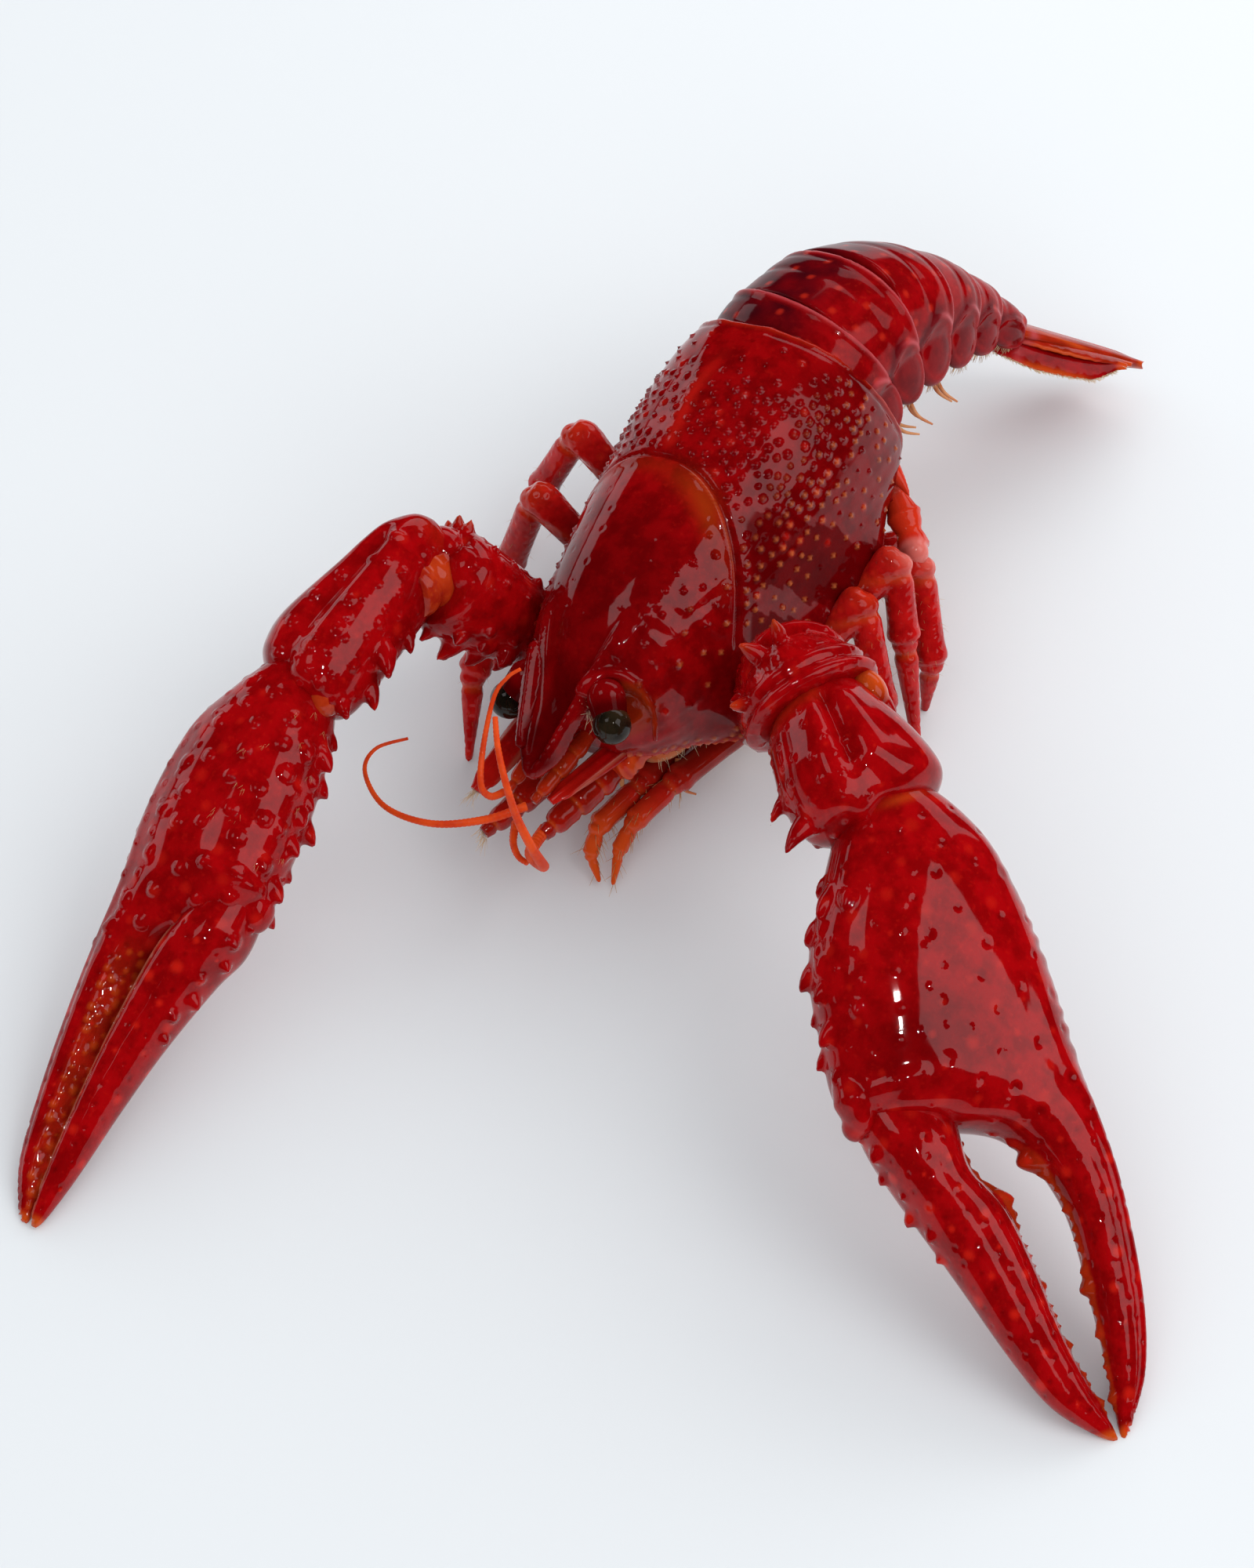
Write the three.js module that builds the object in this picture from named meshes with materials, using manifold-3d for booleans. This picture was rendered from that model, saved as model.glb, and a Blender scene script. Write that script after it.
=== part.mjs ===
// Cooked red crayfish, one animal lying on its belly and leaning to its right.
// Millimetres, +Z up. The head faces -Y, the animal's own left is +X, and the floor is z = 0.
import * as THREE from 'three';
import { mergeVertices } from 'three/addons/utils/BufferGeometryUtils.js';
import Module from 'manifold-3d';

// Driving dimensions
const CARAPACE_LENGTH = 50;
const BODY_LEAN = THREE.MathUtils.degToRad(22);
const BODY_PITCH = THREE.MathUtils.degToRad(10);
const BODY_CENTRE = new THREE.Vector3(0, 26, 15);
const BODY_HEIGHT = 17;
const GAP = 0.32;
const FLOOR_DEPTH = 20;

// Rings along and sides around of each skin
const MESH = {
  carapace: [27, 26],
  rostrum: [10, 14],
  belly: [8, 14],
  stalk: [5, 10],
  eye: [12, 8],
  merus: [7, 12],
  carpus: [7, 12],
  palm: [18, 14],
  dactyl: [11, 10],
  abdomen: [4, 18],
  sidePlate: [7, 5],
  fan: [6, 10],
  feeler: [12, 6],
  mouth: [9, 8],
  headPlate: [5, 10],
  swimmeret: [5, 6],
};

const GROOVE_APEX = 33.6;
const GROOVE_SWEEP = 12.5;
const GROOVE_DEPTH = 0.55;
const GROOVE_WIDTH = 1.0;
const REAR_LOBE = 2.0;
const REAR_TUCK = 4.2;
const ORBIT_CENTRE = [6.5, 8.4, 19.2];
const ORBIT_RADII = [3.0, 3.4, 2.7];
const EYE_CENTRE = [6.4, 8.0, 19.1];
const EYE_RADIUS = 1.85;
const STALK_ROOT = [4.7, 10.5, 19.9];
const STALK_STATIONS = [[0, 1.0], [1.2, 1.55], [2.6, 1.5]];
const SIDES = [['right', -1], ['left', 1]];
const ROSTRUM_HOLLOW = 1.1;

// Stations of the carapace: along, half width, top, height of the widest line, bottom
const CARAPACE_STATIONS = [
  [8.4, 4.2, 19.0, 15.6, 12.0],
  [11.5, 7.5, 21.7, 14.8, 8.8],
  [15.0, 8.9, 23.7, 14.2, 6.6],
  [20.0, 9.9, 25.3, 13.6, 5.0],
  [27.0, 11.0, 26.4, 13.0, 4.0],
  [33.6, 11.8, 26.9, 12.6, 3.6],
  [40.0, 12.3, 27.5, 12.6, 3.6],
  [46.0, 11.9, 27.7, 12.8, 4.0],
  [CARAPACE_LENGTH, 10.6, 27.4, 13.4, 5.4],
];
// Stations of the rostrum: along, half width, top of its margins, underside
const ROSTRUM_STATIONS = [
  [0.0, 0.3, 18.1, 17.4],
  [1.6, 0.9, 18.8, 17.3],
  [3.2, 2.0, 19.7, 17.4],
  [8.0, 3.2, 21.6, 17.9],
  [14.7, 5.0, 24.3, 19.4],
  [18.5, 5.2, 24.9, 21.0],
];
// Stations of the soft belly: along, half width, top, height of the widest line, bottom
const BELLY_STATIONS = [
  [12.5, 3.4, 8.6, 6.6, 4.6],
  [18.0, 5.2, 6.8, 4.6, 2.6],
  [27.0, 6.0, 6.0, 3.6, 1.2],
  [38.0, 6.0, 6.0, 3.6, 1.0],
  [45.0, 5.4, 7.0, 4.6, 1.8],
  [49.0, 4.6, 8.4, 6.4, 4.2],
];

// Each claw arm: joints in the part's frame, tilt of the claw's inner edge, side of the inner edge
const LEFT_CLAW = {
  name: 'left',
  side: 1,
  shoulder: [11.4, -3.2, 8.2],
  elbow: [20.4, -10.6, 27.6],
  wrist: [31.9, -17.9, 26.0],
  tip: [75.6, -51.3, 0.1],
  tilt: THREE.MathUtils.degToRad(4),
};
const RIGHT_CLAW = {
  name: 'right',
  side: -1,
  shoulder: [-9.6, -4.4, 8.6],
  elbow: [-19.7, -14.4, 24.2],
  wrist: [-23.4, -29.2, 20.0],
  tip: [-19.7, -81.8, 0.5],
  tilt: THREE.MathUtils.degToRad(20),
};
// Claw stations: along from the wrist, inner edge, outer edge, rise, drop
LEFT_CLAW.palm = [
  [-1.5, 2.6, -3.2, 3.0, 3.0],
  [2.5, 5.4, -6.2, 4.6, 4.4],
  [7.0, 8.4, -8.2, 5.8, 5.2],
  [12.5, 11.6, -9.0, 6.4, 5.8],
  [19.0, 13.0, -9.2, 6.4, 6.0],
  [26.0, 13.4, -8.9, 5.8, 5.6],
  [29.6, 7.0, -8.7, 4.9, 4.8],
  [33.0, 0.0, -8.6, 4.2, 4.0],
  [40.0, -3.0, -8.2, 3.4, 3.3],
  [49.5, -2.2, -6.6, 2.6, 2.5],
  [56.0, -1.2, -4.4, 1.6, 1.5],
  [60.4, -0.4, -1.2, 0.4, 0.4],
];
LEFT_CLAW.dactyl = [
  [25.5, 12.0, 8.6, 2.6, 2.6],
  [30.0, 11.9, 6.0, 4.2, 4.0],
  [34.5, 11.1, 4.4, 4.0, 3.8],
  [38.5, 10.2, 2.4, 3.7, 3.5],
  [44.0, 8.6, 2.0, 3.1, 3.0],
  [51.0, 6.8, 1.7, 2.4, 2.3],
  [56.5, 5.2, 1.1, 1.6, 1.6],
  [60.4, 1.8, 0.3, 0.4, 0.4],
];
RIGHT_CLAW.palm = [
  [-1.5, 2.4, -2.6, 3.0, 3.0],
  [2.5, 4.6, -5.2, 4.6, 4.4],
  [7.0, 6.0, -7.2, 5.6, 5.2],
  [12.5, 7.0, -8.0, 6.0, 5.6],
  [18.0, 7.4, -7.9, 6.0, 5.6],
  [22.5, 7.4, -7.4, 5.4, 5.2],
  [26.0, 3.2, -7.1, 4.4, 4.4],
  [30.0, -0.8, -6.8, 3.6, 3.6],
  [37.5, -1.3, -6.2, 2.9, 2.8],
  [45.0, -1.4, -5.2, 2.2, 2.1],
  [51.5, -1.2, -3.9, 1.5, 1.4],
  [56.0, -0.6, -1.5, 0.4, 0.4],
];
RIGHT_CLAW.dactyl = [
  [21.5, 7.2, 4.6, 2.4, 2.4],
  [25.5, 7.5, 3.0, 3.7, 3.5],
  [30.0, 5.8, 0.0, 3.5, 3.4],
  [37.0, 4.0, -0.6, 2.9, 2.8],
  [44.0, 2.7, -0.7, 2.3, 2.2],
  [51.0, 1.8, -0.6, 1.5, 1.5],
  [56.2, 0.9, 0.0, 0.4, 0.4],
];
LEFT_CLAW.carpus = [
  [-2.6, 3.4, -3.4, 3.4, 3.4],
  [1.0, 5.6, -5.2, 5.2, 5.2],
  [6.0, 7.0, -6.0, 6.0, 5.8],
  [11.0, 8.2, -6.6, 6.2, 5.8],
  [14.6, 7.6, -6.0, 5.4, 5.2],
];
RIGHT_CLAW.carpus = [
  [-2.6, 2.4, -2.6, 3.0, 3.0],
  [1.0, 2.8, -3.8, 4.4, 4.4],
  [6.5, 3.8, -5.0, 5.0, 5.0],
  [12.0, 5.6, -6.0, 5.2, 5.0],
  [16.0, 5.9, -5.2, 4.6, 4.4],
];
LEFT_CLAW.merus = [
  [0.0, 2.6, -2.4, 2.8, 2.8],
  [7.0, 3.4, -3.6, 4.0, 3.8],
  [15.0, 4.4, -5.0, 5.0, 4.8],
  [21.5, 4.9, -5.7, 5.4, 5.2],
  [23.6, 4.4, -5.2, 5.0, 4.8],
];
RIGHT_CLAW.merus = [
  [0.0, 3.4, -2.0, 2.8, 3.0],
  [6.0, 4.4, -2.4, 3.8, 4.4],
  [13.0, 4.8, -3.6, 4.8, 5.2],
  [19.0, 4.6, -4.4, 5.4, 5.2],
  [21.4, 4.2, -4.0, 4.8, 4.6],
];
// Spine rows: first and last place along, number, height, base radius, how far up the edge
LEFT_CLAW.palmSpines = [7.2, 25.5, 9, 1.9, 0.85, 0.05];
RIGHT_CLAW.palmSpines = [4.2, 22.0, 9, 1.9, 0.85, -0.3];
LEFT_CLAW.carpusSpines = [7.0, 13.4, 3, 2.8, 1.0, 0.05];
RIGHT_CLAW.carpusSpines = [5.5, 15.0, 4, 2.3, 0.95, -0.3];
LEFT_CLAW.merusSpines = [13.0, 21.5, 4, 1.9, 0.85, 0.05];
RIGHT_CLAW.merusSpines = [9.0, 20.0, 5, 1.9, 0.85, -0.75];

const SPINE_STAGGER = 0.17;
const SPINE_RAKE = 0.35;

// Walking legs: hip in the body's frame, then knee, ankle and foot in the part's frame
const LEGS = [
  ['leg_left_1', [8.0, 22, 3.0], [16.9, 7.1, 19.0], [22.2, 4.5, 8.0], [24.0, 3.4, -0.25]],
  ['leg_left_2', [8.0, 29, 3.0], [17.0, 13.9, 19.0], [20.6, 11.4, 11.0], [25.0, 6.4, -0.25]],
  ['leg_left_3', [8.0, 36, 3.0], [16.8, 17.6, 14.0], [21.5, 13.7, 6.0], [21.4, 13.1, -0.25]],
  ['leg_left_4', [7.4, 42, 3.4], [14.4, 21.8, 10.6], [17.2, 20.0, 5.0], [18.9, 18.6, -0.25]],
  ['leg_right_1', [-8.0, 22, 2.6], [-15.5, -5.0, 12.0], [-15.8, -11.4, 7.0], [-13.5, -16.3, -0.25]],
  ['leg_right_2', [-8.0, 29, 2.6], [-18.5, 5.4, 15.0], [-20.8, 3.5, 5.0], [-20.2, 0.3, -0.25]],
  ['leg_right_3', [-8.0, 36, 2.6], [-18.7, 13.7, 16.0], [-21.8, 11.6, 8.0], [-23.7, 8.9, -0.25]],
  ['leg_right_4', [-7.4, 42, 3.0], [-13.0, 20.0, 11.0], [-15.0, 22.0, 5.0], [-14.0, 24.0, -0.25]],
];
const LEG_RADII = [1.45, 1.35, 1.15, 0.45];
const LEG_RINGS = [[-0.03, 0.75], [0.08, 1.05], [0.82, 0.95], [1.0, 1.12], [1.06, 0.75]];
const LEG_SIDES = 6;

// Abdomen joints in the part's frame with half width, rise and drop of the ring there
const ABDOMEN_JOINTS = [
  [-0.9, 23.5, 23.5, 10.0, 8.4, 5.6],
  [-0.3, 28.6, 25.2, 9.6, 8.1, 5.4],
  [0.7, 33.6, 25.2, 9.2, 7.4, 5.2],
  [2.2, 38.8, 22.8, 8.4, 6.1, 5.2],
  [3.7, 43.1, 19.4, 7.4, 4.6, 4.5],
  [5.4, 47.0, 15.8, 6.3, 3.4, 3.4],
  [7.7, 51.0, 11.4, 5.2, 2.4, 2.5],
];
const ABDOMEN_TUCK = 2.5;
const ABDOMEN_STEP = 0.25;
const SIDE_PLATE = { half: 1.0, reach: 0.42, depth: 0.72, lean: 0.25, across: 0.84, along: 0.56, down: 0.86 };
const SWIMMERET_RINGS = [1, 2, 3];
const SWIMMERET = { length: 0.9, across: 0.46, root: 1.0, radii: [0.5, 0.22] };
const TELSON_TIP = [21.1, 60.1, 4.2];
const TAIL_UP = new THREE.Vector3(-0.38, 0.68, 0.62);
const TELSON_SIZE = { half: 3.2, thick: 0.85 };
const UROPOD_SIZE = { length: 14.8, half: 2.8, thick: 0.5 };
const UROPOD_PLACE = { spread: [0.17, 0.4], out: [1.9, 3.0], drop: [-1.5, -2.8] };

// Feelers and mouth limbs: points in the part's frame, radius at the root and at the tip
const FEELERS = {
  antenna_left: [[[1.4, -27.6, 9.2], [4.2, -32.0, 13.0], [4.5, -33.9, 18.0], [3.3, -33.9, 22.0],
    [1.9, -33.5, 26.0], [0.0, -31.7, 28.0], [-1.7, -29.4, 29.0]], 0.6, 0.24],
  antenna_right: [[[-4.4, -27.8, 7.2], [-2.4, -28.6, 8.0], [0.0, -29.4, 8.4], [1.4, -29.7, 9.0]], 0.4, 0.26],
  antennule_left: [[[-0.4, -26.5, 13.0], [-3.1, -29.5, 12.5], [-7.5, -32.2, 12.0], [-12.8, -32.1, 11.0],
    [-16.8, -29.3, 10.5], [-17.4, -26.4, 10.5], [-15.4, -23.8, 10.5]], 0.42, 0.14],
  antennule_right: [[[-3.0, -26.3, 13.2], [-3.2, -28.4, 14.8], [-4.0, -28.7, 16.5], [-5.2, -26.3, 18.5],
    [-6.2, -22.6, 21.5], [-5.7, -20.9, 23.0], [-4.9, -19.8, 23.6]], 0.36, 0.16],
};
const MOUTH_LIMBS = {
  maxilliped_left: [[[8.6, -6.4, 5.0], [7.4, -11.6, 5.4], [6.0, -17.3, 4.4], [5.8, -19.9, 2.6],
    [6.7, -22.6, 0.8]], 1.5, 0.65],
  maxilliped_right: [[[5.0, -8.0, 4.4], [4.6, -13.2, 5.0], [3.2, -19.4, 4.2], [3.6, -21.6, 2.4],
    [5.4, -23.0, 0.8]], 1.4, 0.6],
};
// Head plates in the part's frame: root, tip, half width, half thickness
const HEAD_PLATES = {
  scale_left: [[4.6, -13.6, 13.4], [0.9, -24.0, 12.2], 1.5, 0.55],
  scale_right: [[-5.6, -14.0, 11.6], [-6.6, -25.6, 10.2], 1.7, 0.55],
  antenna_base_left: [[3.2, -15.6, 10.4], [1.2, -25.9, 9.2], 1.25, 1.2],
  antenna_base_right: [[-2.0, -16.0, 7.6], [-5.0, -27.0, 6.2], 1.5, 1.4],
  antennule_base_left: [[0.9, -16.6, 14.6], [-0.2, -25.6, 12.8], 0.95, 0.9],
  antennule_base_right: [[-3.2, -16.4, 13.2], [-3.0, -25.4, 12.6], 0.9, 0.85],
};

const FINISH = {
  shell: { color: 0x9c0d12, roughness: 0.22, metalness: 0 },
  limb: { color: 0xb5161a, roughness: 0.26, metalness: 0 },
  orange: { color: 0xd9541e, roughness: 0.35, metalness: 0 },
  belly: { color: 0xc98a5c, roughness: 0.5, metalness: 0 },
  eye: { color: 0x0e0c0b, roughness: 0.12, metalness: 0 },
};

// Solid helpers
const wasm = await Module();
wasm.setup();

const vector = (xyz) => new THREE.Vector3(...xyz);

function toSolid(geometry) {
  const bare = geometry.clone();
  bare.deleteAttribute('normal');
  bare.deleteAttribute('uv');
  const merged = mergeVertices(bare, 1e-4);
  const vertProperties = new Float32Array(merged.attributes.position.array);
  const triVerts = new Uint32Array(merged.index.array);
  return new wasm.Manifold(new wasm.Mesh({ numProp: 3, vertProperties, triVerts }));
}

function toGeometry(solid) {
  const bodies = solid.decompose();
  bodies.sort((a, b) => b.volume() - a.volume());
  const mesh = bodies[0].getMesh();
  const geometry = new THREE.BufferGeometry();
  geometry.setAttribute('position', new THREE.BufferAttribute(new Float32Array(mesh.vertProperties), 3));
  geometry.setIndex(new THREE.BufferAttribute(new Uint32Array(mesh.triVerts), 1));
  geometry.computeVertexNormals();
  return geometry;
}

function fuse(geometries) {
  return toGeometry(geometries.map(toSolid).reduce((whole, next) => whole.add(next)));
}

function cut(geometry, cutters) {
  return toGeometry(cutters.map(toSolid).reduce((whole, next) => whole.subtract(next), toSolid(geometry)));
}

// Rows through the stations on a smooth curve, every column eased alike
function smoothRows(stations, count) {
  const last = stations.length - 1;
  return Array.from({ length: count }, (_, i) => {
    const t = (i / (count - 1)) * last;
    const k = Math.min(Math.floor(t), last - 1);
    const f = t - k;
    const [before, from, to, after] = [k - 1, k, k + 1, k + 2].map(
      (n) => stations[THREE.MathUtils.clamp(n, 0, last)],
    );
    return from.map((start, c) => {
      const slope = to[c] - before[c];
      const bend = 2 * before[c] - 5 * start + 4 * to[c] - after[c];
      const twist = 3 * start - before[c] - 3 * to[c] + after[c];
      return 0.5 * (2 * start + slope * f + bend * f * f + twist * f * f * f);
    });
  });
}

const soften = (value, power) => Math.sign(value) * Math.abs(value) ** power;

// A closed skin of rings along +Y. Each ring's points come from its row; both ends are capped.
function ringSkin(rows, sides, point) {
  const geometry = new THREE.SphereGeometry(1, sides, rows.length + 1);
  const position = geometry.attributes.position;
  for (let i = 0; i < position.count; i += 1) {
    const ring = Math.floor(i / (sides + 1));
    const column = (i % (sides + 1)) % sides;
    const angle = (2 * Math.PI * column) / sides;
    const row = rows[THREE.MathUtils.clamp(rows.length - ring, 0, rows.length - 1)];
    const reach = ring === 0 || ring === rows.length + 1 ? 0 : 1;
    position.setXYZ(i, ...point(row, -Math.cos(angle) * reach, Math.sin(angle) * reach));
  }
  return geometry;
}

// A ring of the row [along, across, height, half width, rise, drop]
function ovalPoint([y, x, z, half, rise, drop], c, s) {
  const tall = s > 0 ? rise : drop;
  return [x + half * soften(c, 0.9), y, z + tall * soften(s, 0.9)];
}

function grow(rows, by) {
  return rows.map(([y, x, z, half, rise, drop], i) => {
    const end = i === 0 ? -by : 0;
    const stretch = i === rows.length - 1 ? by : end;
    return [y + stretch, x, z, half + by, rise + by, drop + by];
  });
}

// Frame with +Y from one point to the next and +Z as near to up as that allows
function aim(from, to, up = new THREE.Vector3(0, 0, 1)) {
  const along = to.clone().sub(from).normalize();
  const rise = up.clone().addScaledVector(along, -up.dot(along)).normalize();
  const across = new THREE.Vector3().crossVectors(along, rise);
  return new THREE.Matrix4().makeBasis(across, along, rise).setPosition(from);
}

function spine(at, towards, height, radius) {
  const cone = new THREE.ConeGeometry(radius, height * 1.5, 6);
  cone.translate(0, height * 0.25, 0);
  const tilt = new THREE.Quaternion();
  tilt.setFromUnitVectors(new THREE.Vector3(0, 1, 0), towards.clone().normalize());
  cone.applyQuaternion(tilt);
  return cone.translate(at.x, at.y, at.z);
}

// A round rod with a ring of the given radius at each point; its bends lie near one plane
function rod(points, radii, sides) {
  const last = points.length - 1;
  const chord = points[last].clone().sub(points[0]);
  const rows = points.map((centre, i) => {
    const along = points[Math.min(i + 1, last)].clone().sub(points[Math.max(i - 1, 0)]).normalize();
    return { centre, along, radius: radii[i] };
  });
  const belly = points[Math.round(last / 2)].clone().sub(points[0]);
  const normal = new THREE.Vector3().crossVectors(belly, chord).normalize();
  for (const row of rows) {
    row.across = new THREE.Vector3().crossVectors(row.along, normal).normalize();
    row.rise = new THREE.Vector3().crossVectors(row.across, row.along);
  }
  return ringSkin(rows, sides, ({ centre, across, rise, radius }, c, s) => [
    ...centre.clone().addScaledVector(across, c * radius).addScaledVector(rise, s * radius),
  ]);
}

// A rod that tapers along a smooth curve through the points
function taperedRod(points, rootRadius, tipRadius, sides, rings) {
  const centres = new THREE.CatmullRomCurve3(points.map(vector)).getSpacedPoints(rings - 1);
  const radii = centres.map((_, i) => THREE.MathUtils.lerp(rootRadius, tipRadius, i / (rings - 1)));
  return rod(centres, radii, sides);
}

// Scene graph
const part = new THREE.Group();
const body = new THREE.Group();
body.rotation.set(BODY_PITCH, -BODY_LEAN, 0);
body.position.set(0, 0, BODY_HEIGHT).sub(BODY_CENTRE.clone().applyEuler(body.rotation));
part.add(body);
part.updateMatrixWorld(true);

const bodyPoint = (xyz) => vector(xyz).applyMatrix4(body.matrixWorld);

function add(parent, name, geometry, finish, matrix = new THREE.Matrix4()) {
  const mesh = new THREE.Mesh(geometry, new THREE.MeshStandardMaterial(finish));
  mesh.name = name;
  mesh.applyMatrix4(matrix);
  parent.add(mesh);
  mesh.updateWorldMatrix(true, false);
  return mesh;
}

// Cuts a mesh clear of shapes that are given in other meshes' frames
function clear(mesh, neighbours) {
  const inward = mesh.matrixWorld.clone().invert();
  const cutters = neighbours.map(([geometry, matrix]) => {
    const intoMesh = inward.clone().multiply(matrix);
    return geometry.clone().applyMatrix4(intoMesh);
  });
  mesh.geometry = cut(mesh.geometry, cutters);
}

// Carapace: a tall arched shell with the groove behind the head and the hollowed rostrum
function arch([y, half, top, mid, bottom], c, s) {
  const onGroove = y - GROOVE_APEX + GROOVE_SWEEP * (1 - s);
  const dip = s > 0 ? GROOVE_DEPTH * Math.exp(-((onGroove / GROOVE_WIDTH) ** 2)) : 0;
  const tall = s > 0 ? top - mid : mid - bottom;
  const shrink = 1 - dip / tall;
  const rear = THREE.MathUtils.smoothstep(y, CARAPACE_LENGTH - 9, CARAPACE_LENGTH);
  const lobe = c * c * REAR_LOBE - (s < 0 ? s * s * REAR_TUCK : 0);
  const power = s > 0 ? 0.88 : 0.68;
  return [half * soften(c, 0.84) * shrink, y + rear * lobe, mid + tall * soften(s, power) * shrink];
}

function growArch(rows, by) {
  return rows.map(([y, half, top, mid, bottom], i) => {
    const start = i === 0 ? -by : 0;
    const stretch = i === rows.length - 1 ? by : start;
    return [y + stretch, half + by, top + by, mid, bottom - by];
  });
}

function rostrumPoint([y, half, top, bottom], c, s) {
  const x = half * soften(c, 0.6);
  const edge = bottom + 0.55 * (top - bottom);
  const hollow = ROSTRUM_HOLLOW * Math.min(1, half / 3) * (1 - (x / half) ** 2);
  const height = s > 0 ? top - hollow - edge : edge - bottom;
  return [x, y, edge + height * soften(s, 0.6)];
}

const carapaceRows = smoothRows(CARAPACE_STATIONS, MESH.carapace[0]);
const carapaceRoom = [ringSkin(growArch(carapaceRows, GAP), MESH.carapace[1], arch), body.matrixWorld];
const bellyRows = smoothRows(BELLY_STATIONS, MESH.belly[0]);
const bellyRoom = [ringSkin(growArch(bellyRows, GAP), MESH.belly[1], arch), body.matrixWorld];

function rostrumRows(growth) {
  return smoothRows(ROSTRUM_STATIONS, MESH.rostrum[0]).map(([y, half, top, bottom]) => [
    y - growth, half + growth, top + growth, bottom - growth,
  ]);
}

const rostrumRoom = [ringSkin(rostrumRows(GAP), MESH.rostrum[1], rostrumPoint), body.matrixWorld];

// An eye's place in the body's frame, and the stalk that carries it
function eyePlace(side) {
  const centre = vector(EYE_CENTRE).multiply(new THREE.Vector3(side, 1, 1));
  const root = vector(STALK_ROOT).multiply(new THREE.Vector3(side, 1, 1));
  return { centre: new THREE.Matrix4().setPosition(centre), stalk: aim(root, centre) };
}

const stalkRows = smoothRows(STALK_STATIONS, MESH.stalk[0]).map(([y, radius]) => [
  y, 0, 0, radius, radius, radius,
]);

function buildCarapace() {
  const shell = ringSkin(carapaceRows, MESH.carapace[1], arch);
  const rostrum = ringSkin(rostrumRows(0), MESH.rostrum[1], rostrumPoint);
  const hollows = [-1, 1].flatMap((side) => {
    const orbit = new THREE.SphereGeometry(1, ...MESH.eye).scale(...ORBIT_RADII);
    orbit.translate(side * ORBIT_CENTRE[0], ORBIT_CENTRE[1], ORBIT_CENTRE[2]);
    const socket = ringSkin(grow(stalkRows, GAP), MESH.stalk[1], ovalPoint);
    socket.applyMatrix4(eyePlace(side).stalk);
    return [orbit, socket];
  });
  add(body, 'carapace', cut(fuse([shell, rostrum]), hollows), FINISH.shell);
}

function buildBelly() {
  const belly = add(body, 'belly', ringSkin(bellyRows, MESH.belly[1], arch), FINISH.belly);
  clear(belly, [carapaceRoom]);
}

function buildEyes() {
  for (const [name, side] of SIDES) {
    const { centre, stalk } = eyePlace(side);
    const tube = ringSkin(stalkRows, MESH.stalk[1], ovalPoint);
    const neck = add(body, `eyestalk_${name}`, tube, FINISH.shell, stalk);
    const ball = new THREE.SphereGeometry(EYE_RADIUS, ...MESH.eye);
    const eye = add(body, `eye_${name}`, ball, FINISH.eye, centre);
    clear(neck, [[new THREE.SphereGeometry(EYE_RADIUS + GAP, ...MESH.eye), eye.matrixWorld]]);
  }
}

// Claw arms
function clawRows(stations, side, count) {
  return smoothRows(stations, count).map(([y, inner, outer, rise, drop]) => {
    const half = Math.max((inner - outer) / 2, 0.15);
    return [y, side * 0.5 * (inner + outer), 0, half, Math.max(rise, 0.15), Math.max(drop, 0.15)];
  });
}

function spineRow(rows, side, [first, last, count, height, radius, lift]) {
  return Array.from({ length: count }, (_, i) => {
    const y = THREE.MathUtils.lerp(first, last, i / (count - 1));
    const row = rows.reduce((best, next) => (Math.abs(next[0] - y) < Math.abs(best[0] - y) ? next : best));
    const up = lift + (i % 2 ? SPINE_STAGGER : -SPINE_STAGGER);
    const out = side * Math.sqrt(1 - up * up);
    const at = new THREE.Vector3(row[1] + 0.94 * row[3] * out, y, 0.94 * up * (up > 0 ? row[4] : row[5]));
    const size = 0.8 + 0.2 * ((i * 2) % 3);
    return spine(at, new THREE.Vector3(out, SPINE_RAKE, up), height * size, radius * size);
  });
}

function buildClaw(claw) {
  const { name, side, tilt } = claw;
  const [shoulder, elbow, wrist, tip] = [claw.shoulder, claw.elbow, claw.wrist, claw.tip].map(vector);
  const turn = new THREE.Matrix4().makeRotationY(-side * tilt);
  const places = {
    merus: aim(shoulder, elbow).multiply(turn),
    carpus: aim(elbow, wrist).multiply(turn),
    palm: aim(wrist, tip).multiply(turn),
    dactyl: aim(wrist, tip).multiply(turn),
  };
  const rows = {};
  const meshes = {};
  for (const piece of Object.keys(places)) {
    const [rings, sides] = MESH[piece];
    rows[piece] = clawRows(claw[piece], side, rings);
    const skin = ringSkin(rows[piece], sides, ovalPoint);
    const spines = claw[`${piece}Spines`];
    const shape = spines ? fuse([skin, ...spineRow(rows[piece], side, spines)]) : skin;
    meshes[piece] = add(part, `claw_${name}_${piece}`, shape, FINISH.limb, places[piece]);
  }
  const room = (piece) => [ringSkin(grow(rows[piece], GAP), MESH[piece][1], ovalPoint), places[piece]];
  clear(meshes.merus, [room('carpus'), carapaceRoom]);
  clear(meshes.palm, [room('carpus')]);
  clear(meshes.dactyl, [room('palm')]);
  return room('merus');
}

// Legs: three straight stretches that taper between thicker, rounded knees
function legStretch(joints, i) {
  const length = joints[i].distanceTo(joints[i + 1]);
  const rows = LEG_RINGS.map(([at, swell]) => {
    const radius = THREE.MathUtils.lerp(LEG_RADII[i], LEG_RADII[i + 1], at) * swell;
    return [at * length, 0, 0, radius, radius, radius];
  });
  return ringSkin(rows, LEG_SIDES, ovalPoint).applyMatrix4(aim(joints[i], joints[i + 1]));
}

function buildLeg([name, hip, ...bends], rooms) {
  const joints = [bodyPoint(hip), ...bends.map(vector)];
  const stretches = bends.map((_, i) => legStretch(joints, i));
  clear(add(part, name, fuse(stretches), FINISH.limb), rooms);
}

// Abdomen: six arched rings with a rounded side plate low on each flank
function tailUp(u) {
  const first = new THREE.Vector3(0, 0, 1).transformDirection(body.matrixWorld);
  return first.lerp(TAIL_UP, u).normalize();
}

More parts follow.
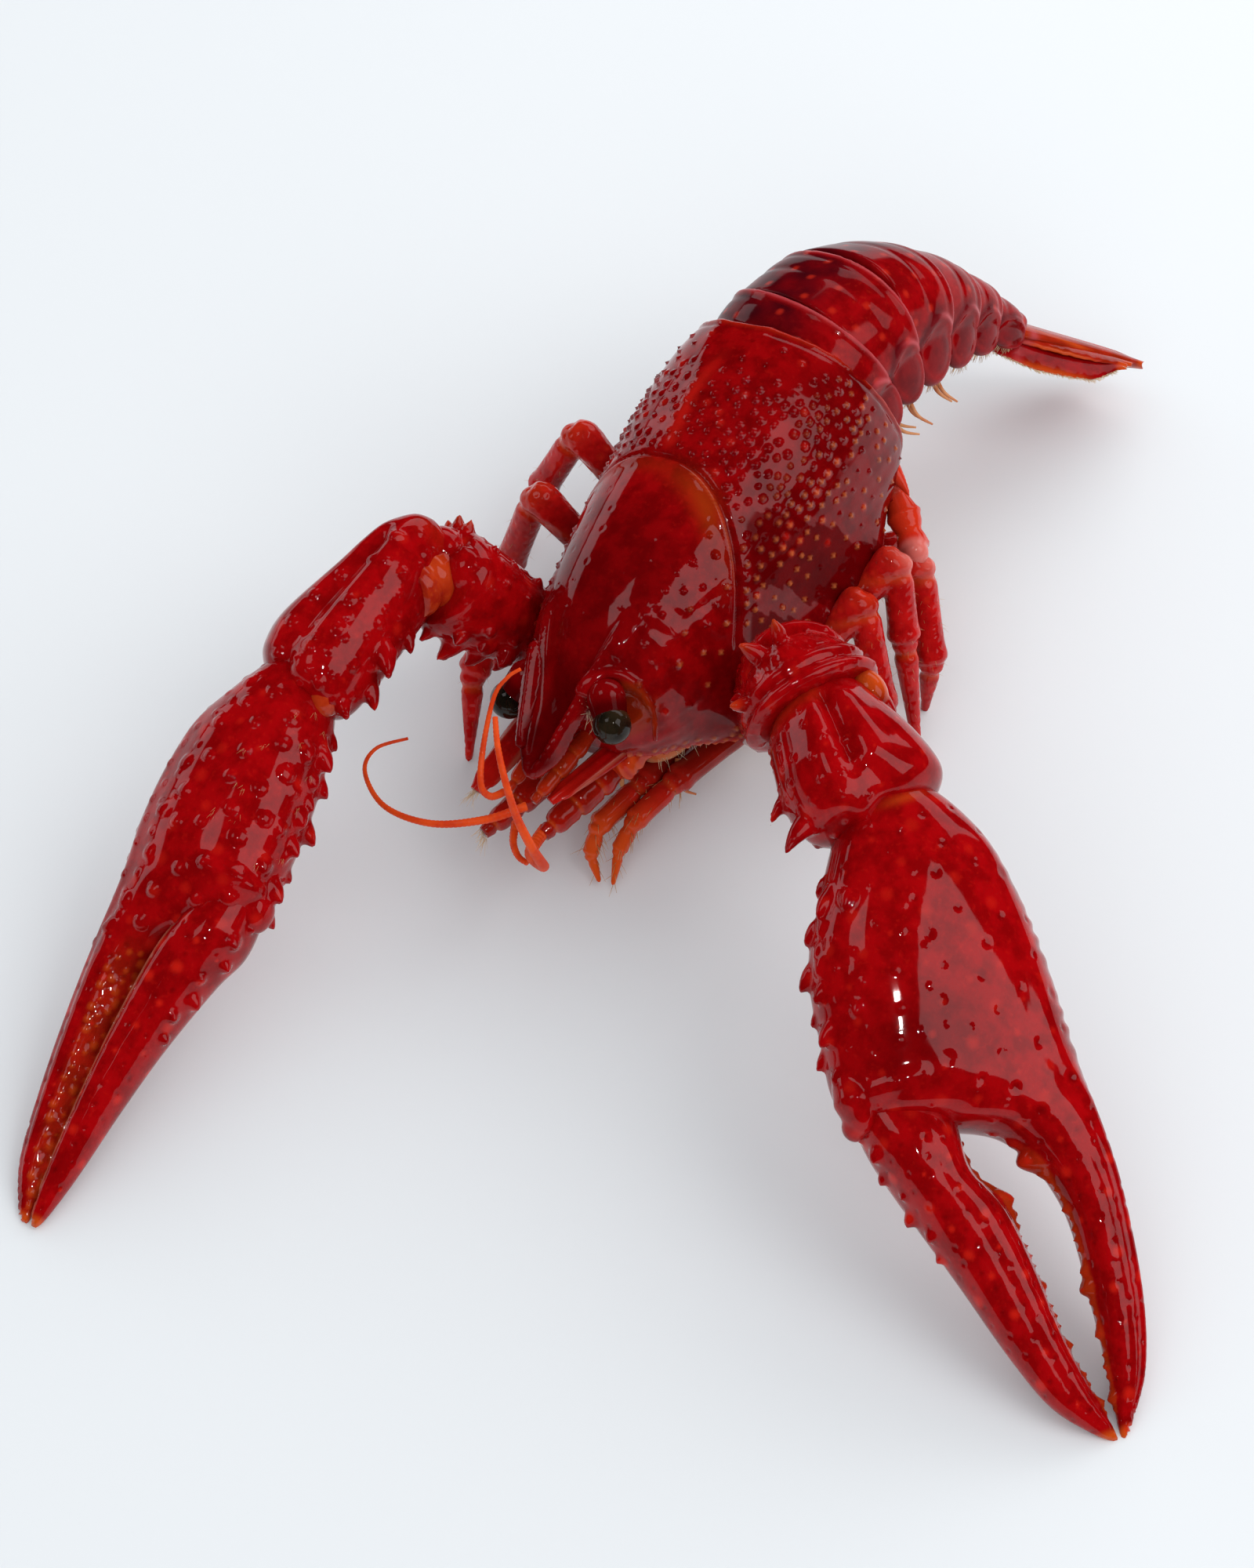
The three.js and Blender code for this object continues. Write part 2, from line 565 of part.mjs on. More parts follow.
function sidePlate(side, length, [half, , drop]) {
  const plate = new THREE.SphereGeometry(1, ...MESH.sidePlate);
  plate.scale(SIDE_PLATE.half, length * SIDE_PLATE.reach, drop * SIDE_PLATE.depth);
  plate.rotateY(side * SIDE_PLATE.lean);
  return plate.translate(side * half * SIDE_PLATE.across, length * SIDE_PLATE.along, -drop * SIDE_PLATE.down);
}

function buildAbdomen() {
  let room = carapaceRoom;
  for (let i = 0; i < ABDOMEN_JOINTS.length - 1; i += 1) {
    const from = vector(ABDOMEN_JOINTS[i].slice(0, 3));
    const to = vector(ABDOMEN_JOINTS[i + 1].slice(0, 3));
    const front = ABDOMEN_JOINTS[i].slice(3);
    const back = ABDOMEN_JOINTS[i + 1].slice(3);
    const length = from.distanceTo(to);
    const place = aim(from, to, tailUp((i + 0.5) / 6));
    const rows = smoothRows([
      [-ABDOMEN_TUCK, 0, 0, ...front.map((size) => size - 2 * ABDOMEN_STEP)],
      [length * 0.5, 0, 0, ...front.map((size, k) => THREE.MathUtils.lerp(size, back[k], 0.4))],
      [length, 0, 0, ...back.map((size) => size + ABDOMEN_STEP)],
    ], MESH.abdomen[0]);
    const ring = ringSkin(rows, MESH.abdomen[1], ovalPoint);
    const plates = SIDES.map(([, side]) => sidePlate(side, length, back));
    const mesh = add(part, `abdomen_${i + 1}`, fuse([ring, ...plates]), FINISH.shell, place);
    clear(mesh, [room]);
    if (SWIMMERET_RINGS.includes(i)) {
      buildSwimmerets(i + 1, length, back, place);
    }
    room = ahead(length, place);
  }
  return room;
}

// The space ahead of a ring's hind edge, which the next ring keeps clear of
function ahead(length, place) {
  const slab = new THREE.BoxGeometry(60, 30, 60).translate(0, length + GAP - 15, 0);
  return [slab, place];
}

// Small curled limbs under a ring
function buildSwimmerets(number, length, [half, , drop], place) {
  const [rings, sides] = MESH.swimmeret;
  for (const [name, side] of SIDES) {
    const x = side * half * SWIMMERET.across;
    const y = length * 0.5;
    const reach = drop * SWIMMERET.length;
    const curl = [
      [x, y, -drop - SWIMMERET.root],
      [x * 1.1, y - 0.4, -drop - 0.5 * reach],
      [x, y + 1.4, -drop - reach],
    ];
    const limb = taperedRod(curl, ...SWIMMERET.radii, sides, rings);
    add(part, `swimmeret_${name}_${number}`, limb, FINISH.belly, place);
  }
}

// Tail fan: the middle plate and two folded plates on each side
function fanPlate(length, half, thick) {
  const rows = smoothRows([
    [0, 0, 0, half * 0.45, thick, thick],
    [length * 0.35, 0, 0, half * 0.85, thick, thick],
    [length * 0.75, 0, 0, half, thick * 0.8, thick * 0.8],
    [length, 0, 0, half * 0.55, thick * 0.5, thick * 0.5],
  ], MESH.fan[0]);
  return ringSkin(rows, MESH.fan[1], ovalPoint);
}

function buildTailFan(room) {
  const root = vector(ABDOMEN_JOINTS[6].slice(0, 3));
  const tip = vector(TELSON_TIP);
  const place = aim(root, tip, TAIL_UP);
  const telson = fanPlate(root.distanceTo(tip), TELSON_SIZE.half, TELSON_SIZE.thick);
  clear(add(part, 'telson', telson, FINISH.shell, place), [room]);
  for (const [name, side] of SIDES) {
    UROPOD_PLACE.spread.forEach((spread, i) => {
      const plate = fanPlate(UROPOD_SIZE.length - i, UROPOD_SIZE.half, UROPOD_SIZE.thick);
      plate.rotateZ(-side * spread);
      plate.translate(side * UROPOD_PLACE.out[i], 0.6, UROPOD_PLACE.drop[i]);
      clear(add(part, `uropod_${name}_${i + 1}`, plate, FINISH.limb, place), [room]);
    });
  }
}

// Feelers, mouth limbs and the plates at their roots
function buildHeadLimbs() {
  for (const [name, [points, root, tip]] of Object.entries(FEELERS)) {
    add(part, name, taperedRod(points, root, tip, MESH.feeler[1], MESH.feeler[0]), FINISH.orange);
  }
  for (const [name, [points, root, tip]] of Object.entries(MOUTH_LIMBS)) {
    const limb = add(part, name, taperedRod(points, root, tip, MESH.mouth[1], MESH.mouth[0]), FINISH.orange);
    clear(limb, [carapaceRoom, bellyRoom]);
  }
  for (const [name, [from, to, half, thick]] of Object.entries(HEAD_PLATES)) {
    const root = vector(from);
    const tip = vector(to);
    const length = root.distanceTo(tip);
    const rows = smoothRows([
      [0, 0, 0, half * 0.7, thick * 0.8, thick * 0.8],
      [length * 0.3, 0, 0, half, thick, thick],
      [length * 0.75, 0, 0, half * 0.75, thick * 0.85, thick * 0.85],
      [length, 0, 0, half * 0.4, thick * 0.5, thick * 0.5],
    ], MESH.headPlate[0]);
    const plate = add(part, name, ringSkin(rows, MESH.headPlate[1], ovalPoint), FINISH.limb, aim(root, tip));
    clear(plate, [carapaceRoom, rostrumRoom]);
  }
}

// Trims what reaches below the floor, which leaves small flat resting spots
function standOnFloor() {
  part.updateMatrixWorld(true);
  const ground = new THREE.BoxGeometry(400, 400, FLOOR_DEPTH).translate(0, 0, -FLOOR_DEPTH / 2);
  part.traverse((node) => {
    if (node.isMesh && new THREE.Box3().setFromObject(node, true).min.z < 0) {
      clear(node, [[ground, new THREE.Matrix4()]]);
    }
  });
}

// Puts the origin under the middle of the whole
function centre() {
  const box = new THREE.Box3().setFromObject(part, true);
  const middle = box.getCenter(new THREE.Vector3());
  part.position.set(-middle.x, -middle.y, -box.min.z);
  part.updateMatrixWorld(true);
}

buildCarapace();
buildBelly();
buildEyes();
buildHeadLimbs();
const armRooms = [RIGHT_CLAW, LEFT_CLAW].map(buildClaw);
for (const leg of LEGS) {
  buildLeg(leg, [carapaceRoom, bellyRoom, ...armRooms]);
}
buildTailFan(buildAbdomen());
standOnFloor();
centre();

export default part;
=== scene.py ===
"""A cooked red crayfish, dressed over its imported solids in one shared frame."""

import logging
import math
from collections.abc import Callable, Sequence
from dataclasses import dataclass
from enum import Enum

import bpy
import numpy as np
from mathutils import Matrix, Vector
from mathutils.kdtree import KDTree
from numpy.linalg import norm
from numpy.random import default_rng


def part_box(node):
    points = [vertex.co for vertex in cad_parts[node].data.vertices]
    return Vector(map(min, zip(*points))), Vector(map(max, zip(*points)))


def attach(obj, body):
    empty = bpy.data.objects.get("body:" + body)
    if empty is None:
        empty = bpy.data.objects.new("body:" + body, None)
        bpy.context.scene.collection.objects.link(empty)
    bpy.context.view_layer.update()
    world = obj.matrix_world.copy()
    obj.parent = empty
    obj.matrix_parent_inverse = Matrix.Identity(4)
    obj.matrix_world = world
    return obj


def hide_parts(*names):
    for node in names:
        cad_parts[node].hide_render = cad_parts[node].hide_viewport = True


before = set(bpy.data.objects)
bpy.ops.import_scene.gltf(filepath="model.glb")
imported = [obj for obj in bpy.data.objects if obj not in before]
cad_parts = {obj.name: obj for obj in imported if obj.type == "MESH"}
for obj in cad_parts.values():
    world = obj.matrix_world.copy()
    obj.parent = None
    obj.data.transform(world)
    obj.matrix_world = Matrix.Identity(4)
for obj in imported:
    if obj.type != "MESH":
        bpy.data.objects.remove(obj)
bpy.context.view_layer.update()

LOG = logging.getLogger("crayfish")
MM = 0.001
SIDES = (("right", -1), ("left", 1))
Array = np.ndarray
Colour = tuple[float, float, float]
Numbers = Sequence[float]
Rows = Sequence[Numbers]
PointRule = Callable[[Array, Array, Array], Array]


class Slot(Enum):
    """The record's material slots."""

    SHELL = "shell"
    LIMB = "limb"
    FEELER = "feeler"
    MEMBRANE = "membrane"
    EYE = "eye"


class Tint(Enum):
    """Channels of the colour that a piece carries at each point, in places painted shade and
    painted sheen.
    """

    AMBER = 0
    PALE = 1
    DARK = 2
    BRIGHT = 3


# Small maths


def ease(value: Array, low: float, high: float) -> Array:
    """Ease from 0 at low to 1 at high.

    Args:
        value: Numbers to ease.
        low: Where the rise starts.
        high: Where it ends.

    Returns:
        The eased numbers.
    """
    t = np.clip((value - low) / (high - low), 0, 1)
    return t * t * (3 - 2 * t)


def hill(value: Array, width: float) -> Array:
    """A bell of height 1 around 0."""
    return np.exp(-((value / width) ** 2))


def ribs(value: Array, table: Rows) -> Array:
    """Ribs and grooves side by side.

    Args:
        value: Distance across them.
        table: Place, half width and height of each one.

    Returns:
        Their height.
    """
    return sum(tall * hill(value - at, wide) for at, wide, tall in table)


def soften(value: Array, power: Array | float) -> Array:
    """Raise the size of each number to a power and keep its sign."""
    return np.sign(value) * np.abs(value) ** power


def smooth_rows(stations: Rows, count: int) -> Array:
    """Rows on a smooth curve through the stations.

    Args:
        stations: Rows of sizes, all of one length.
        count: How many rows come back.

    Returns:
        An array of count rows.
    """
    table = np.asarray(stations, float)
    last = len(table) - 1
    t = np.linspace(0, last, count)
    k = np.minimum(t.astype(int), last - 1)
    f = (t - k)[:, None]
    before, start, end, after = (table[np.clip(k + n, 0, last)] for n in (-1, 0, 1, 2))
    bend = 2 * before - 5 * start + 4 * end - after
    twist = 3 * start - before - 3 * end + after
    return 0.5 * (2 * start + (end - before) * f + bend * f**2 + twist * f**3)


def even_path(points: Rows, count: int) -> Array:
    """Points at even steps along a smooth curve.

    Args:
        points: Points that the curve goes through.
        count: How many points come back.

    Returns:
        An array of count points.
    """
    fine = smooth_rows(points, 24 * len(points))
    steps = norm(np.diff(fine, axis=0), axis=1)
    run = np.concatenate([[0], np.cumsum(steps)])
    at = np.linspace(0, run[-1], count)
    return np.stack([np.interp(at, run, fine[:, i]) for i in range(3)], 1)


def unit(value: Numbers) -> Array:
    """The direction of a vector."""
    vector = np.asarray(value, float)
    return vector / norm(vector)


@dataclass(frozen=True)
class Place:
    """A frame of its own in the design: columns across, along and up, in millimetres."""

    turn: Array
    origin: Array

    @staticmethod
    def aim(start: Numbers, end: Numbers, up: Numbers = (0, 0, 1),
            roll: float = 0.0) -> "Place":
        """A frame whose Y runs from one point to another.

        Args:
            start: The frame's origin.
            end: A point on its Y axis.
            up: The direction that Z leans to.
            roll: Turn about Y, in radians.

        Returns:
            The frame.
        """
        along = unit(np.subtract(end, start))
        rise = unit(np.asarray(up, float) - along * np.dot(up, along))
        c, s = math.cos(roll), math.sin(roll)
        spin = np.array([[c, 0, s], [0, 1, 0], [-s, 0, c]])
        axes = np.stack([np.cross(along, rise), along, rise], 1)
        return Place(axes @ spin, np.asarray(start, float))

    def out(self, points: Array) -> Array:
        """Points of this frame in the design."""
        return np.asarray(points, float) @ self.turn.T + self.origin

    def into(self, points: Array) -> Array:
        """Points of the design in this frame."""
        return (np.asarray(points, float) - self.origin) @ self.turn


BODY_MIDDLE = (0.0, 26.0, 15.0)
BODY_HEIGHT = 17.0


def body_place(lean: float, pitch: float) -> Place:
    """The frame of the leaning body.

    Args:
        lean: Lean to the animal's right, in degrees.
        pitch: Lift of the tail, in degrees.

    Returns:
        The body's frame.
    """
    c, s = math.cos(math.radians(lean)), math.sin(math.radians(lean))
    cp, sp = math.cos(math.radians(pitch)), math.sin(math.radians(pitch))
    rolled = np.array([[c, 0, -s], [0, 1, 0], [s, 0, c]])
    turn = np.array([[1, 0, 0], [0, cp, -sp], [0, sp, cp]]) @ rolled
    return Place(turn, (0, 0, BODY_HEIGHT) - turn @ BODY_MIDDLE)


BODY = body_place(lean=22, pitch=10)
WORLD = Place(np.eye(3), np.zeros(3))


# Modelling


def deselect() -> None:
    """Leave nothing selected."""
    bpy.ops.object.select_all(action="DESELECT")


def use(ob: bpy.types.Object) -> None:
    """Select one object alone and make it active."""
    deselect()
    ob.select_set(True)
    bpy.context.view_layer.objects.active = ob


class Clay:
    """A closed mesh in work, in millimetres of its own frame, with a tint at each point."""

    def __init__(self, ob: bpy.types.Object) -> None:
        """Take an object in hand."""
        self.ob = ob
        self.tint = np.zeros((len(ob.data.vertices), 4))
        self._tree: KDTree | None = None

    def _read(self, key: str) -> Array:
        """One vector of every point."""
        flat = np.empty(len(self.ob.data.vertices) * 3, np.float32)
        self.ob.data.vertices.foreach_get(key, flat)
        return flat.reshape(-1, 3).astype(float)

    @property
    def points(self) -> Array:
        """The places of all points."""
        return self._read("co")

    @points.setter
    def points(self, value: Array) -> None:
        """Move all points."""
        self.ob.data.vertices.foreach_set("co", np.ascontiguousarray(value, np.float32).ravel())
        self.ob.data.update()
        self._tree = None

    @property
    def normals(self) -> Array:
        """The outward direction at each point."""
        return self._read("normal")

    @property
    def tree(self) -> KDTree:
        """A tree for finding near points."""
        if self._tree is None:
            points = self.points
            self._tree = KDTree(len(points))
            for i, point in enumerate(points):
                self._tree.insert(point, i)
            self._tree.balance()
        return self._tree

    def moved(self, place: Place) -> "Clay":
        """Carry the mesh from a frame of its own into the frame around it."""
        self.points = place.out(self.points)
        return self

    def face_out(self) -> "Clay":
        """Turn all faces outwards."""
        use(self.ob)
        bpy.ops.object.mode_set(mode="EDIT")
        bpy.ops.mesh.select_all(action="SELECT")
        bpy.ops.mesh.normals_make_consistent(inside=False)
        bpy.ops.object.mode_set(mode="OBJECT")
        return self

    def join(self, others: Sequence["Clay"]) -> "Clay":
        """Take other meshes into this one.

        Args:
            others: Meshes in the same frame.

        Returns:
            This mesh.
        """
        tints = [self.tint] + [other.tint for other in others]
        use(self.ob)
        for other in others:
            other.ob.select_set(True)
        bpy.ops.object.join()
        self.tint = np.concatenate(tints)
        self._tree = None
        return self

    def modify(self, kind: str, **settings: object) -> "Clay":
        """Add a modifier and apply it.

        Args:
            kind: The modifier's type.
            **settings: Its values.

        Returns:
            This mesh.
        """
        use(self.ob)
        modifier = self.ob.modifiers.new(kind.lower(), kind)
        for key, value in settings.items():
            setattr(modifier, key, value)
        bpy.ops.object.modifier_apply(modifier=modifier.name)
        self.tint = np.zeros((len(self.ob.data.vertices), 4))
        self._tree = None
        return self

    def carve(self, other: "Clay") -> "Clay":
        """Cut another mesh out of this one, which uses it up."""
        self.modify("BOOLEAN", object=other.ob, operation="DIFFERENCE", solver="EXACT")
        bpy.data.objects.remove(other.ob)
        return self

    def knead(self, grain: float, rounds: int) -> "Clay":
        """Fuse all that is joined into one even skin and smooth it.

        Args:
            grain: Size of the new faces.
            rounds: How often it is smoothed.

        Returns:
            This mesh.
        """
        self.modify("REMESH", mode="VOXEL", voxel_size=grain)
        return self.modify("SMOOTH", factor=0.5, iterations=rounds)

    def lift(self, height: Array, lean: Numbers = (0, 0, 0)) -> "Clay":
        """Raise the skin along its normals.

        Args:
            height: How far each point goes out.
            lean: Extra shift for each unit of height.

        Returns:
            This mesh.
        """
        self.points = self.points + height[:, None] * (self.normals + lean)
        return self

    def spots(self, gap: Array | float, seed: int) -> list[int]:
        """Pick points that keep a distance from each other.

        Args:
            gap: The distance wanted around each point, or around all, and 0 where none is picked.
            seed: Seed of the random order.

        Returns:
            Indices of the picked points.
        """
        points = self.points
        gap = np.broadcast_to(gap, len(points))
        taken = gap <= 0
        picked = []
        for i in default_rng(seed).permutation(len(points)):
            if taken[i]:
                continue
            picked.append(int(i))
            for _, near, _ in self.tree.find_range(points[i], gap[i]):
                taken[near] = True
        return picked

    def domes(self, centres: Sequence[int], radii: Array | float, sharp: float = 1.0) -> Array:
        """Round bumps around some points, 1 at the middle and 0 at the rim.

        Args:
            centres: Indices of the points in the middle.
            radii: Radius of each bump, or of all.
            sharp: Above 1 the bumps get pointed.

        Returns:
            The bumps' height at every point, between 0 and 1.
        """
        points = self.points
        rise = np.zeros(len(points))
        for i, radius in zip(centres, np.broadcast_to(radii, len(centres))):
            for _, near, distance in self.tree.find_range(points[i], radius):
                rise[near] = max(rise[near], (1 - (distance / radius) ** 2) ** sharp)
        return rise

    def stain(self, tint: Tint, amount: Array | float) -> None:
        """Lay a tint over what is there, where it is stronger."""
        layer = self.tint[:, tint.value]
        self.tint[:, tint.value] = np.maximum(layer, np.clip(amount, 0, 1))


def ring_skin(rows: Array, sides: int, rule: PointRule) -> Clay:
    """Shape a ball into a closed skin of rings.

    Args:
        rows: One row of sizes for each ring.
        sides: Points around a ring.
        rule: Gives points from rows and from the cosine and sine around the ring.

    Returns:
        The skin.
    """
    deselect()
    bpy.ops.mesh.primitive_uv_sphere_add(segments=sides, ring_count=len(rows) + 1, radius=1.0)
    clay = Clay(bpy.context.object)
    ball = clay.points
    ring = np.rint(np.arccos(np.clip(ball[:, 2], -1, 1)) / np.pi * (len(rows) + 1)).astype(int)
    turn = np.arctan2(ball[:, 1], ball[:, 0])
    reach = (ring > 0) & (ring <= len(rows))
    row = rows[np.clip(ring - 1, 0, len(rows) - 1)]
    clay.points = rule(row, np.cos(turn) * reach, np.sin(turn) * reach)
    return clay.face_out()


BOXY = 0.9


def oval(rows: Array, c: Array, s: Array) -> Array:
    """Rings of the rows [along, across, height, half width, rise, drop].

    Args:
        rows: A row for each point.
        c: Cosine around the ring.
        s: Sine around the ring.

    Returns:
        The points.
    """
    y, x, z, half, rise, drop = rows.T
    tall = np.where(s > 0, rise, drop)
    return np.stack([x + half * soften(c, BOXY), y, z + tall * soften(s, BOXY)], 1)


def hoop(rows: Array, c: Array, s: Array) -> Array:
    """Round rings of the rows [centre, across, rise, radius], three numbers each but the last."""
    return rows[:, 0:3] + rows[:, 9:10] * (rows[:, 3:6] * c[:, None] + rows[:, 6:9] * s[:, None])


def tube(path: Array, radii: Array, sides: int) -> Clay:
    """A round rod along a path.

    Args:
        path: Points along the middle.
        radii: Radius at each point.
        sides: Points around it.

    Returns:
        The rod.
    """
    along = np.gradient(path, axis=0)
    along /= norm(along, axis=1, keepdims=True)
    across = np.zeros_like(path)
    side = np.cross(along[0], (0.31, 0.17, 0.93))
    for i, ahead in enumerate(along):
        side = unit(side - ahead * np.dot(side, ahead))
        across[i] = side
    rows = np.concatenate([path, across, np.cross(along, across), np.reshape(radii, (-1, 1))], 1)
    return ring_skin(rows, sides, hoop)


def ball(centre: Numbers, radii: Numbers, sides: int = 24) -> Clay:
    """An egg at a place, turned with the frame.

    Args:
        centre: Its middle.
        radii: Half its size along X, Y and Z.
        sides: Points around it.

    Returns:
        The egg.
    """
    deselect()
    bpy.ops.mesh.primitive_uv_sphere_add(segments=sides, ring_count=sides // 2, radius=1.0)
    clay = Clay(bpy.context.object)
    clay.points = clay.points * radii + centre
    return clay


def thorn(root: Numbers, towards: Numbers, height: float, radius: float,
          bend: Numbers = (0, 0, 0)) -> Clay:
    """A spine whose base is sunk in what carries it.

    Args:
        root: Middle of its base.
        towards: Its direction.
        height: How far it stands out.
        radius: Radius of its base.
        bend: How far its tip hooks over, per unit of height.

    Returns:
        The spine.
    """
    t = np.linspace(-0.6, 1, 11)
    hook = np.outer(np.clip(t, 0, 1) ** 2 * height, bend)
    path = np.asarray(root, float) + np.outer(t * height, unit(towards)) + hook
    swell = np.clip(1.05 - np.clip(t, 0, 1), 0.05, 1) ** 0.75
    return tube(path, radius * swell, 12)


LIMB_RINGS = ((-0.04, 0.55), (0.02, 0.86), (0.1, 0.95), (0.35, 0.93), (0.8, 1.0), (0.93, 1.12),
              (1.0, 1.04), (1.05, 0.6))


def limb(joints: Sequence[Array], radii: Numbers, grain: float) -> Clay:
    """A jointed limb of straight stretches that swell at their far ends.

    Args:
        joints: Places of its joints, from root to tip.
        radii: Radius at each joint.
        grain: Size of its faces.

    Returns:
        The limb, pinched and amber behind each joint.
    """
    rings = smooth_rows(LIMB_RINGS, 40)
    parts = []
    for start, end, thick, thin in zip(joints, joints[1:], radii, radii[1:]):
        swell = (thick + (thin - thick) * rings[:, 0]) * rings[:, 1]
        parts.append(tube(start + np.outer(rings[:, 0], end - start), np.maximum(swell, 0.1), 24))
    clay = parts[0].join(parts[1:]).knead(grain, 3)
    p = clay.points
    height = np.zeros(len(p))
    for joint, after, radius in zip(joints[1:], joints[2:], radii[1:]):
        beyond = (p - joint) @ unit(after - joint)
        close = hill(norm(p - joint, axis=1), 2.4 * radius)
        pinch = close * hill(beyond - 0.95 * radius, 0.3 * radius)
        height -= 0.2 * radius * pinch
        clay.stain(Tint.AMBER, 0.5 * pinch)
    return clay.lift(height)


def hairs(roots: Array, towards: Array, lengths: Array, radius: float) -> Clay:
    """Thin bristles as one mesh.

    Args:
        roots: Where each one starts.
        towards: Their directions.
        lengths: Their lengths.
        radius: Radius at the root.

    Returns:
        The bristles.
    """
    towards = towards / norm(towards, axis=1, keepdims=True)
    side = np.cross(towards, (0.36, 0.48, 0.8))
    side /= norm(side, axis=1, keepdims=True)
    other = np.cross(towards, side)
    rings = []
    for at, thick in ((0.0, 1.0), (0.5, 0.75), (1.0, 0.25)):
        centre = roots + lengths[:, None] * (towards * at)
        for turn in range(3):
            angle = 2 * math.pi * turn / 3
            spoke = math.cos(angle) * side + math.sin(angle) * other
            rings.append(centre + radius * thick * spoke)
    points = np.stack(rings, 1).reshape(-1, 3)
    faces = []
    for base in range(0, len(points), 9):
        faces.append((base + 2, base + 1, base))
        faces.append((base + 6, base + 7, base + 8))
        for step in (0, 3):
            for turn in range(3):
                after = (turn + 1) % 3
                faces.append((base + step + turn, base + step + after, base + step + 3 + after,
                              base + step + 3 + turn))
    mesh = bpy.data.meshes.new("hairs")
    mesh.from_pydata(points.tolist(), [], faces)
    ob = bpy.data.objects.new("hairs", mesh)
    bpy.context.collection.objects.link(ob)
    return Clay(ob).face_out()


# Finishes


class Wire:
    """A shader socket that takes part in arithmetic."""

    def __init__(self, graph: "Graph", socket: bpy.types.NodeSocket) -> None:
        """Wrap a socket."""
        self.graph = graph
        self.socket = socket

    def _math(self, operation: str, first: object, second: object) -> "Wire":
        """Add a Math node."""
        return self.graph.wire("ShaderNodeMath", {"operation": operation}, {0: first, 1: second})

    def __add__(self, other: object) -> "Wire":
        """Sum."""
        return self._math("ADD", self, other)

    def __mul__(self, other: object) -> "Wire":
        """Product."""
        return self._math("MULTIPLY", self, other)

    def __rsub__(self, other: object) -> "Wire":
        """What is left of a number."""
        return self._math("SUBTRACT", other, self)


class Graph:
    """The node tree of one material."""

    def __init__(self, name: str) -> None:
        """Start an empty material."""
        self.material = bpy.data.materials.new(name)
        self.material.use_nodes = True
        self.tree = self.material.node_tree
        self.tree.nodes.clear()

    def node(self, kind: str, settings: dict, inputs: dict) -> bpy.types.Node:
        """Add a node.

        Args:
            kind: The node's type.
            settings: Its own values, set first.
            inputs: Numbers, colours or wires for its sockets.

        Returns:
            The node.
        """
        node = self.tree.nodes.new(kind)
        for key, value in settings.items():
            setattr(node, key, value)
        for key, value in inputs.items():
            if isinstance(value, Wire):
                self.tree.links.new(value.socket, node.inputs[key])
            else:
                node.inputs[key].default_value = value
        return node

    def wire(self, kind: str, settings: dict, inputs: dict, output: int | str = 0) -> Wire:
        """Add a node and take one of its outputs."""
        return Wire(self, self.node(kind, settings, inputs).outputs[output])

    def noise(self, scale: float, detail: float, rough: float = 0.5) -> Wire:
        """Clouds that sit in the piece's own space.

        Args:
            scale: Clouds in a metre.
            detail: Finer layers.
            rough: Strength of the finer layers.

        Returns:
            A value around 0.5.
        """
        where = self.wire("ShaderNodeTexCoord", {}, {}, "Object")
        return self.wire("ShaderNodeTexNoise", {}, {
            "Vector": where, "Scale": scale, "Detail": detail, "Roughness": rough})

    def ease(self, value: Wire, low: float, high: float) -> Wire:
        """Ease a value from 0 at low to 1 at high."""
        return self.wire("ShaderNodeMapRange", {"interpolation_type": "SMOOTHSTEP"}, {
            "Value": value, "From Min": low, "From Max": high})

    def blend(self, factor: Wire | float, first: object, second: object) -> Wire:
        """Mix two colours."""
        inputs = {0: factor, 6: first, 7: second}
        return self.wire("ShaderNodeMix", {"data_type": "RGBA"}, inputs, 2)

    def surface(self, colour: Wire, rough: Wire, bump: Wire, height: float,
                film: dict) -> bpy.types.Material:
        """End in one glossy surface.

        Args:
            colour: Base colour.
            rough: Roughness.
            bump: Height of the fine relief.
            height: Reach of that relief, in metres.
            film: Sockets of the wet film and of the base under it.

        Returns:
            The finished material.
        """
        relief = self.wire("ShaderNodeBump", {}, {
            "Strength": 1.0, "Distance": height, "Height": bump})
        shader = self.node("ShaderNodeBsdfPrincipled", {}, {
            "Base Color": colour, "Roughness": rough, "Normal": relief, **film})
        end = self.tree.nodes.new("ShaderNodeOutputMaterial")
        self.tree.links.new(shader.outputs[0], end.inputs["Surface"])
        return self.material


def rgba(colour: Colour) -> tuple[float, float, float, float]:
    """A colour with full cover."""
    return (*colour, 1.0)


